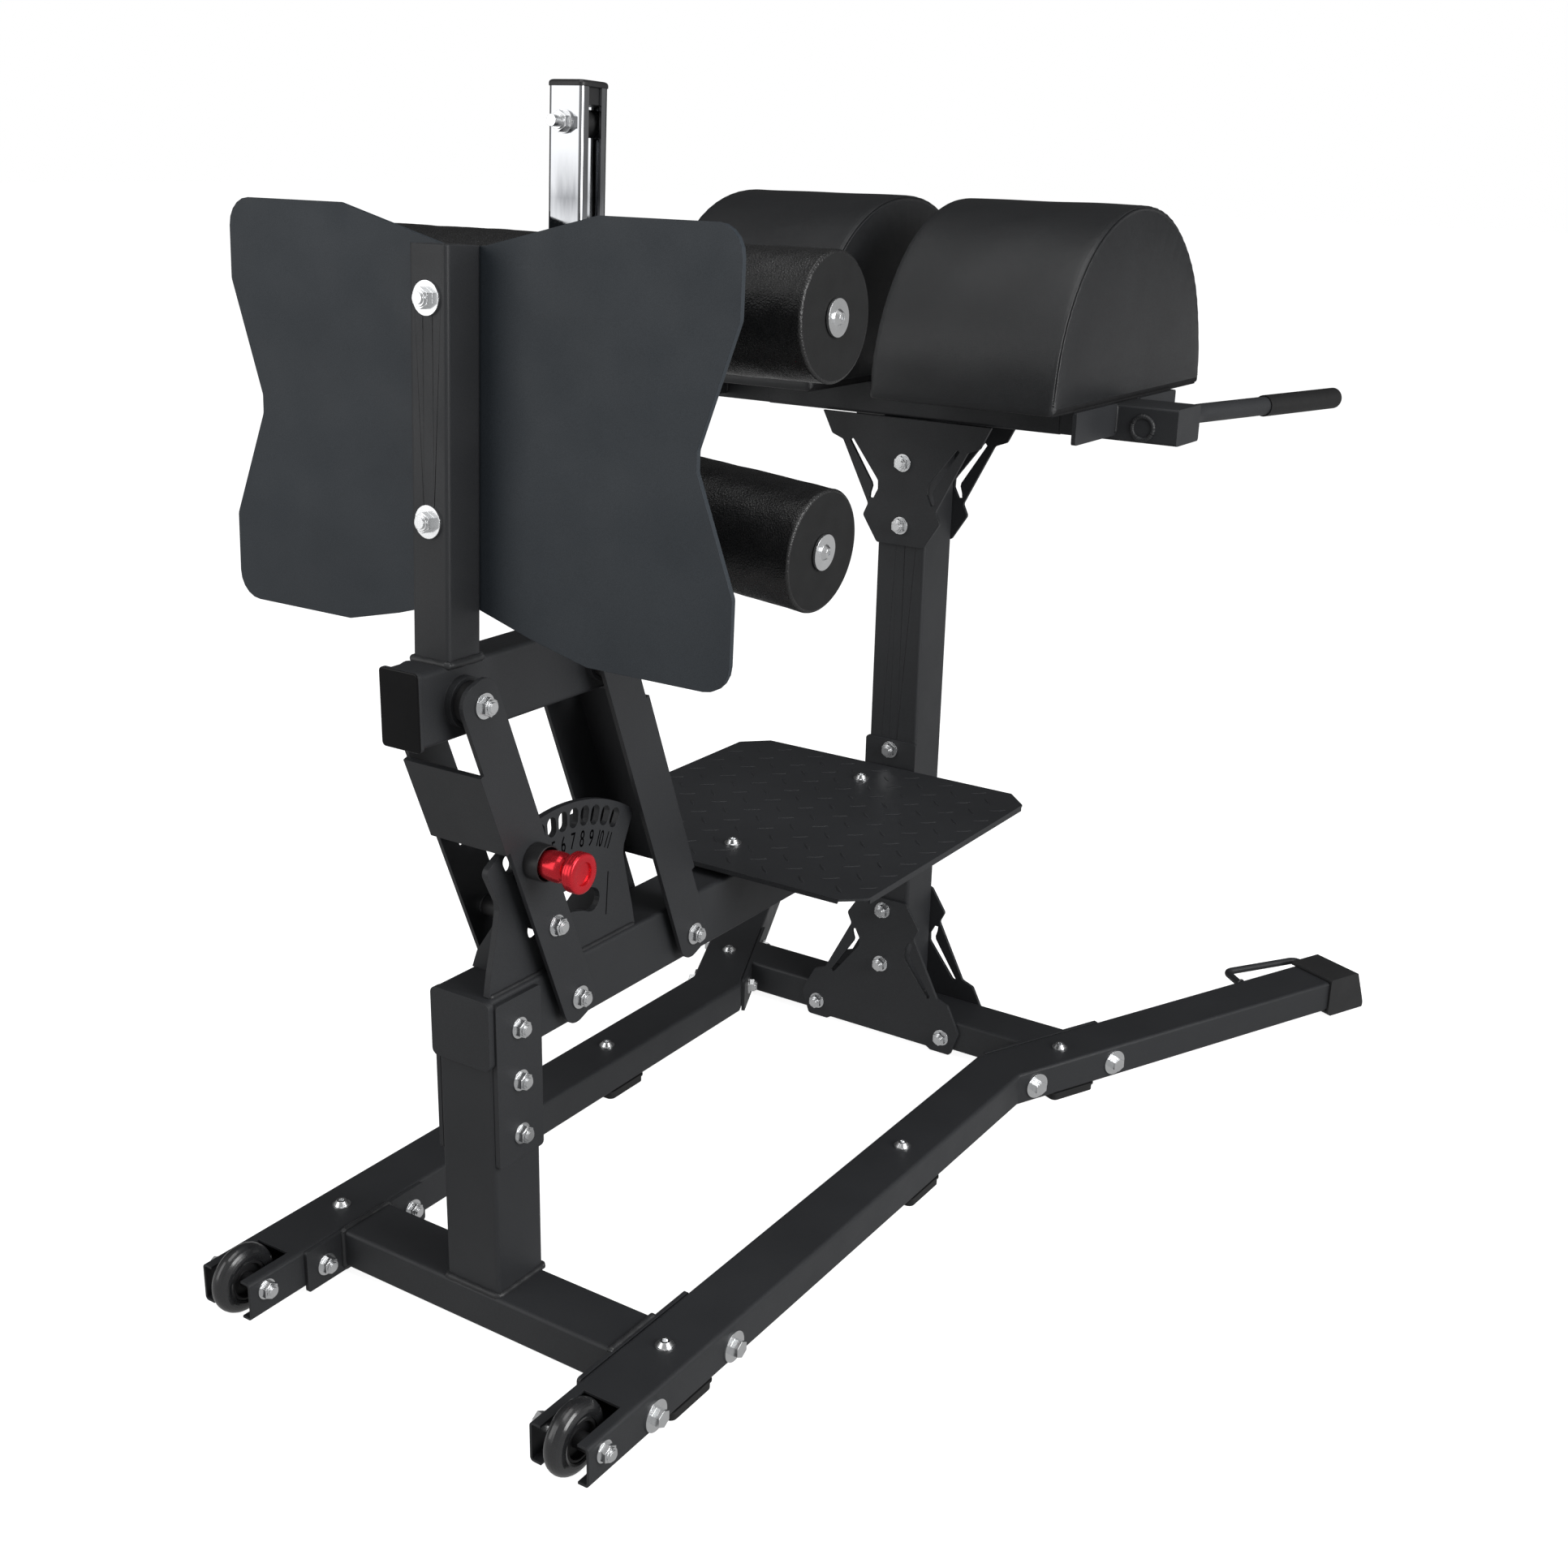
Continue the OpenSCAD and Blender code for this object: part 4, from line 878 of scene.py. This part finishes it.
def numerals():
    V, F = [], []
    for i in range(1, 12):
        cu = bpy.data.curves.new("n", "FONT")
        cu.body = str(i)
        cu.size = 0.0285
        cu.align_x = "CENTER"
        cu.align_y = "CENTER"
        cu.extrude = 0.0001
        cu.resolution_u = 6
        cu.space_character = 0.86
        o = bpy.data.objects.new("n", cu)
        scene.collection.objects.link(o)
        bpy.context.view_layer.update()
        me = bpy.data.meshes.new_from_object(o.evaluated_get(bpy.context.evaluated_depsgraph_get()))
        ang = rad(21 - 5.25 * (i - 2))
        r = 0.1835
        squeeze = 0.60 if i < 10 else 0.50
        base = len(V)
        for q in me.vertices:
            px, py, pz = q.co.x * squeeze, q.co.y, q.co.z
            # text x runs towards +Y and text y runs outward from the pivot, before the turn about it
            y, z = px, py + r
            yy = y * math.cos(ang) - z * math.sin(ang)
            zz = y * math.sin(ang) + z * math.cos(ang)
            c = W(34.0, 287, 388)
            V.append(Vector((c.x + 0.00002 + pz + 0.0001, c.y + yy, c.z + zz)))
        F += [tuple(k + base for k in p.vertices) for p in me.polygons]
        bpy.data.objects.remove(o)
        bpy.data.curves.remove(cu)
        bpy.data.meshes.remove(me)
    return V, F


# the numerals are flat near-black marks just off the plate: painted shade in place of cut figures
v, f = numerals()
add_mesh("sector_numbers", v, f, "base", [M["digits"]], smooth=False)

# ---------- knob of the spring pin ----------


def knob():
    lean = rad(21)
    c = W(0, 287 - 207.5 * math.sin(lean), 388 + 207.5 * math.cos(lean))
    x0 = 0.0685
    prof = [(0.0, 0.0), (0.0, 0.0138), (0.0005, 0.0146), (0.0014, 0.0150)]
    neck = [(0.0030, 0.0155), (0.0080, 0.0166), (0.0140, 0.0173), (0.0210, 0.0176), (0.0260, 0.0173), (0.0305, 0.0160), (0.0336, 0.0135), (0.0354, 0.0106), (0.0362, 0.0084), (0.0366, 0.0074)]
    for (s0, r0), (s1, r1) in zip(neck[:-1], neck[1:]):
        for q in range(3):
            prof.append((s0 + (s1 - s0) * q / 3, r0 + (r1 - r0) * q / 3))
    prof += [(0.0366, 0.0074), (0.0380, 0.0072), (0.0394, 0.0073), (0.0402, 0.0080), (0.0405, 0.0100)]
    prof += [(0.0409, 0.0190), (0.0413, 0.0212), (0.0420, 0.0224), (0.0430, 0.0231), (0.0442, 0.0233)]
    prof += [(0.0458, 0.0233), (0.0462, 0.0230), (0.0466, 0.0233), (0.0500, 0.0233), (0.0504, 0.0230), (0.0508, 0.0233), (0.0530, 0.0233), (0.0543, 0.0230), (0.0551, 0.0223), (0.0555, 0.0212), (0.0557, 0.0196)]
    prof += [(0.0557, 0.0142), (0.0555, 0.0135), (0.0549, 0.0131), (0.0530, 0.0130), (0.0524, 0.0127), (0.0522, 0.0120), (0.0522, 0.0)]
    prof = [(x0 + q, r) for q, r in prof]
    V, F = revolve(prof, (0, c.y, c.z), (1, 0, 0), 96)
    o = add_mesh("pin_knob_turned", V, F, "pin", [M["red"]], angle=35)
    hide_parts("pin_knob")


knob()

# ---------- weld beads ----------

CZ1 = TOP_Z + 40.6
FPY = TOP_Y - 18.4


def welds():
    base, carrier, rear, front = [], [], [], []
    # sector plate on the beam, both faces
    for x in (26.0, 34.0):
        base.append(bead([W(x, 287 - 131, 430.4), W(x, 287 + 131, 430.4)], 0.0030))
    # uprights on the crossmembers
    base.append(bead(rect_loop(0, 190, 50.3, 80.5, 80.5), 0.0040, closed=True, sides=12, step=0.0034, ripple=0.10))
    base.append(bead(rect_loop(0, 1144, 50.3, 80.5, 80.5), 0.0034, closed=True, sides=12, step=0.0034, ripple=0.10))
    # crossmembers on their flanges
    for m in (-1, 1):
        loop = []
        for q in rect_loop(185, 25, 0, 80.4, 50.4):
            loop.append(Vector((m * 0.2089, q.x - YM, q.y + YM + FH)))
        base.append(bead(loop, 0.0036, closed=True, sides=12, step=0.0034, ripple=0.10))
        # pad support plates on the arm
        for y in (1104.6, 1183.4):
            for x in (313.0, 319.0):
                base.append(bead([W(m * x, y, 976), W(m * x, y, 1014)], 0.0021))
        # hand bar through the arm
        for y in (1104.8, 1183.2):
            ring = [W(m * 357 + 15.0 * math.cos(a), y, 987 + 15.0 * math.sin(a)) for a in np.linspace(0, 2 * math.pi, 61)[:-1]]
            base.append(bead(ring, 0.0034, closed=True, sides=12, step=0.0030, ripple=0.08))
        # lifting loops on the splayed tubes
        s25, c25 = math.sin(rad(25)), math.cos(rad(25))
        for xp, s in ((-40.0, 536.5), (-40.0, 690.0)):
            px, py = 254 + xp * c25 + s * s25, 1014 - xp * s25 + s * c25
            ring = []
            for a in np.linspace(0, 2 * math.pi, 17)[:-1]:
                dy, dz = 6.6 * math.cos(a), 6.6 * math.sin(a)
                ring.append(W(m * (px + dy * s25), py + dy * c25, 44 + dz))
            base.append(bead(ring, 0.0019, closed=True, ripple=0.1))
    # flange at the front of the beam
    loop = [Vector((q.x, 1099.2 / 1000 - YM, q.y + YM + FH)) for q in rect_loop(0, 390, 0, 80.4, 80.4)]
    base.append(bead(loop, 0.0026, closed=True))
    # posts on the carrier beam
    for cy, w in ((FPY + 25, 50.4), (CHROME_Y + 22.5, 45.4)):
        carrier.append(bead(rect_loop(0, cy, CZ1 + 0.5, w + 0.6, w + 0.6), 0.0042, closed=True, sides=12, step=0.0034, ripple=0.10))
    for kind, parts, body in (("base", base, "base"), ("carrier", carrier, "carrier")):
        v, f = join(parts)
        add_mesh("weld_beads_" + kind, v, f, body, [M["weld"]])


welds()

# ---------- plastic caps ----------


def round_rect(hx, hz, r, n=6):
    out = []
    for qx, qz, a0 in ((1, 1, 0), (-1, 1, 90), (-1, -1, 180), (1, -1, 270)):
        for i in range(n + 1):
            a = rad(a0 + 90 * i / n)
            out.append((qx * (hx - r) + r * math.cos(a), qz * (hz - r) + r * math.sin(a)))
    return out


def stacked(levels, place):
    """Closed skin through rounded rectangles. Each level is (height, half x, half y, corner radius)."""
    V, F = [], []
    for h, hx, hy, r in levels:
        V += [place(a, b, h) for a, b in round_rect(hx, hy, r)]
    n = 28
    for i in range(len(levels) - 1):
        for j in range(n):
            a, b = i * n + j, i * n + (j + 1) % n
            F.append((a, b, b + n, a + n))
    F.append(tuple(range(n - 1, -1, -1)))
    F.append(tuple((len(levels) - 1) * n + j for j in range(n)))
    return V, F


def caps():
    y0, z0 = TOP_Y - 65.0, TOP_Z + 0.6
    levels = [(0.02, 26.9, 42.4, 4.9), (0.35, 26.9, 42.4, 4.9)]
    levels += [(0.35 + 1.0 * math.sin(rad(a)), 26.9 - 1.6 * (1 - math.cos(rad(a))), 42.4 - 1.6 * (1 - math.cos(rad(a))), 4.9 - 0.8 * (1 - math.cos(rad(a)))) for a in (20, 40, 60, 75, 90)]
    V, F = stacked(levels, lambda a, b, h: W(a, y0 - h, z0 + b))
    add_mesh("carrier_end_cap", V, F, "carrier", [M["gloss"]], angle=40)
    top = 564.0
    levels = [(top - 16.9, 19.0, 19.0, 2.0), (top - 0.05, 19.0, 19.0, 2.0), (top + 0.05, 19.6, 19.6, 2.2), (top + 0.05, 23.0, 23.0, 5.0), (top + 0.5, 23.5, 23.5, 5.5), (top + 2.9, 23.5, 23.5, 5.5)]
    levels += [(top + 2.9 + 3.6 * math.sin(rad(a)), 23.5 - 4.2 * (1 - math.cos(rad(a))), 23.5 - 4.2 * (1 - math.cos(rad(a))), 5.5 - 2.0 * (1 - math.cos(rad(a)))) for a in (12, 25, 38, 50, 62, 74, 84, 90)]
    levels += [(top + 6.8, 14.0, 14.0, 3.0), (top + 6.95, 7.0, 7.0, 2.0)]
    V, F = stacked(levels, lambda a, b, h: chrome_pt(a, 22.5 + b, h))
    o = add_mesh("post_cap_moulded", V, F, "carrier", [M["plastic"]], angle=40)
    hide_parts("post_cap")


caps()

# ---------- softer edges on the CAD pieces ----------

for k in ("rail_right", "rail_left", "rear_crossmember", "front_crossmember", "main_beam", "front_upright", "rear_upright", "pad_beam", "pad_arms", "carrier_beam", "footplate_post"):
    soften(k, 0.0007)
for k in ("rear_link", "front_link", "sector_plate", "side_plates", "lower_gussets", "upper_gussets", "footplate", "platform"):
    crisp(k)
for k in ("frame_bolts", "base_bolts", "pivot_bolts", "wheel_axles", "limit_bolt", "front_top_bolt", "rear_top_bolt", "carrier_bolts", "foot_screws", "upper_axle", "lower_axles"):
    crisp(k)
for k in ("rail_feet", "end_caps", "hub_right", "hub_left", "pivot_bushes", "carrier_bosses", "pin_housing"):
    soften(k, 0.0010)

# ---------- floor, light, camera ----------


def stage():
    def plane(name, z):
        bpy.ops.mesh.primitive_plane_add(size=80, location=(0, 0, z))
        o = bpy.context.object
        o.name = name
        m = bpy.data.materials.new(name)
        m.use_nodes = True
        b = m.node_tree.nodes["Principled BSDF"]
        b.inputs["Specular IOR Level"].default_value = 0.0
        b.inputs["Roughness"].default_value = 1.0
        o.data.materials.append(m)
        return o, b

    # the floor that is seen, and the dimmer one that lights the machine from below
    fl, b = plane("floor", -0.0004)
    b.inputs["Base Color"].default_value = (0.62, 0.62, 0.62, 1)
    b.inputs["Emission Color"].default_value = (1, 1, 1, 1)
    b.inputs["Emission Strength"].default_value = 0.92
    fl.visible_diffuse = False
    fl.visible_glossy = False
    lo, b = plane("floor_bounce", -0.0010)
    b.inputs["Base Color"].default_value = (0.10, 0.10, 0.10, 1)
    b.inputs["Emission Color"].default_value = (1, 1, 1, 1)
    b.inputs["Emission Strength"].default_value = FLOOR_GLOW
    lo.visible_camera = False

    bpy.ops.mesh.primitive_plane_add(size=4.0, location=(3.1, 2.6, -0.0002))
    card = bpy.context.object
    card.name = "bounce_card"
    m = bpy.data.materials.new("bounce_card")
    m.use_nodes = True
    b = m.node_tree.nodes["Principled BSDF"]
    b.inputs["Base Color"].default_value = (0.1, 0.1, 0.1, 1)
    b.inputs["Specular IOR Level"].default_value = 0.0
    b.inputs["Roughness"].default_value = 1.0
    b.inputs["Emission Color"].default_value = (1, 1, 1, 1)
    b.inputs["Emission Strength"].default_value = CARD_GLOW
    card.data.materials.append(m)
    card.visible_camera = False

    w = bpy.data.worlds.new("studio")
    scene.world = w
    w.use_nodes = True
    nt = w.node_tree
    bg = nt.nodes["Background"]
    tc = nt.nodes.new("ShaderNodeTexCoord")
    dot = nt.nodes.new("ShaderNodeVectorMath")
    dot.operation = "DOT_PRODUCT"
    dot.inputs[1].default_value = (-0.50, 0.84, 0.0)
    mr = nt.nodes.new("ShaderNodeMapRange")
    mr.interpolation_type = "SMOOTHSTEP"
    mr.inputs["From Min"].default_value = -0.10
    mr.inputs["From Max"].default_value = 0.75
    mr.inputs["To Min"].default_value = SKY_FRONT
    mr.inputs["To Max"].default_value = SKY_BACK
    nt.links.new(tc.outputs["Generated"], dot.inputs[0])
    nt.links.new(dot.outputs["Value"], mr.inputs["Value"])
    nt.links.new(mr.outputs["Result"], bg.inputs["Color"])
    white = nt.nodes.new("ShaderNodeBackground")
    white.inputs["Color"].default_value = (1, 1, 1, 1)
    lp = nt.nodes.new("ShaderNodeLightPath")
    mx = nt.nodes.new("ShaderNodeMixShader")
    nt.links.new(lp.outputs["Is Camera Ray"], mx.inputs[0])
    nt.links.new(bg.outputs[0], mx.inputs[1])
    nt.links.new(white.outputs[0], mx.inputs[2])
    nt.links.new(mx.outputs[0], nt.nodes["World Output"].inputs["Surface"])

    def area(name, loc, target, size, radiance):
        d = bpy.data.lights.new(name, "AREA")
        d.shape = "RECTANGLE"
        d.size, d.size_y = size
        d.energy = radiance * math.pi * size[0] * size[1]
        o = bpy.data.objects.new(name, d)
        scene.collection.objects.link(o)
        o.location = loc
        o.rotation_euler = (Vector(target) - Vector(loc)).to_track_quat("-Z", "Y").to_euler()
        o.visible_camera = False

    area("softbox_left", (-1.9, -3.5, 2.00), (0, 0, 0.95), (2.6, 3.2), 1.42)
    area("key_right", (3.3, -0.4, 1.9), (0, 0, 0.7), (2.2, 2.0), 6.6)
    area("top_soft", (0.2, -0.8, 4.2), (0, 0, 0.5), (2.0, 3.0), 2.1)


FLOOR_GLOW, SKY_FRONT, SKY_BACK, CARD_GLOW = 0.34, 0.33, 0.050, 0.36
stage()

cam_data = bpy.data.cameras.new("camera")
cam_data.lens = 2287.82 / 1932 * 36
cam_data.sensor_width = 36
cam_data.clip_end = 200
cam = bpy.data.objects.new("camera", cam_data)
scene.collection.objects.link(cam)
yaw, pitch, roll = rad(32.56), rad(19.01), rad(1.483)
Fv = Vector((-math.sin(yaw) * math.cos(pitch), math.cos(yaw) * math.cos(pitch), -math.sin(pitch)))
Rv = Vector((math.cos(yaw), math.sin(yaw), 0))
Uv = Rv.cross(Fv)
R2 = Rv * math.cos(roll) + Uv * math.sin(roll)
U2 = -Rv * math.sin(roll) + Uv * math.cos(roll)
rot = Matrix((R2, U2, -Fv)).transposed()
cam.matrix_world = Matrix.Translation(W(1305.35, -1241.24, 1331.82)) @ rot.to_4x4()
scene.camera = cam

scene.view_settings.view_transform = "Standard"
scene.view_settings.look = "None"
scene.view_settings.exposure = 0.0
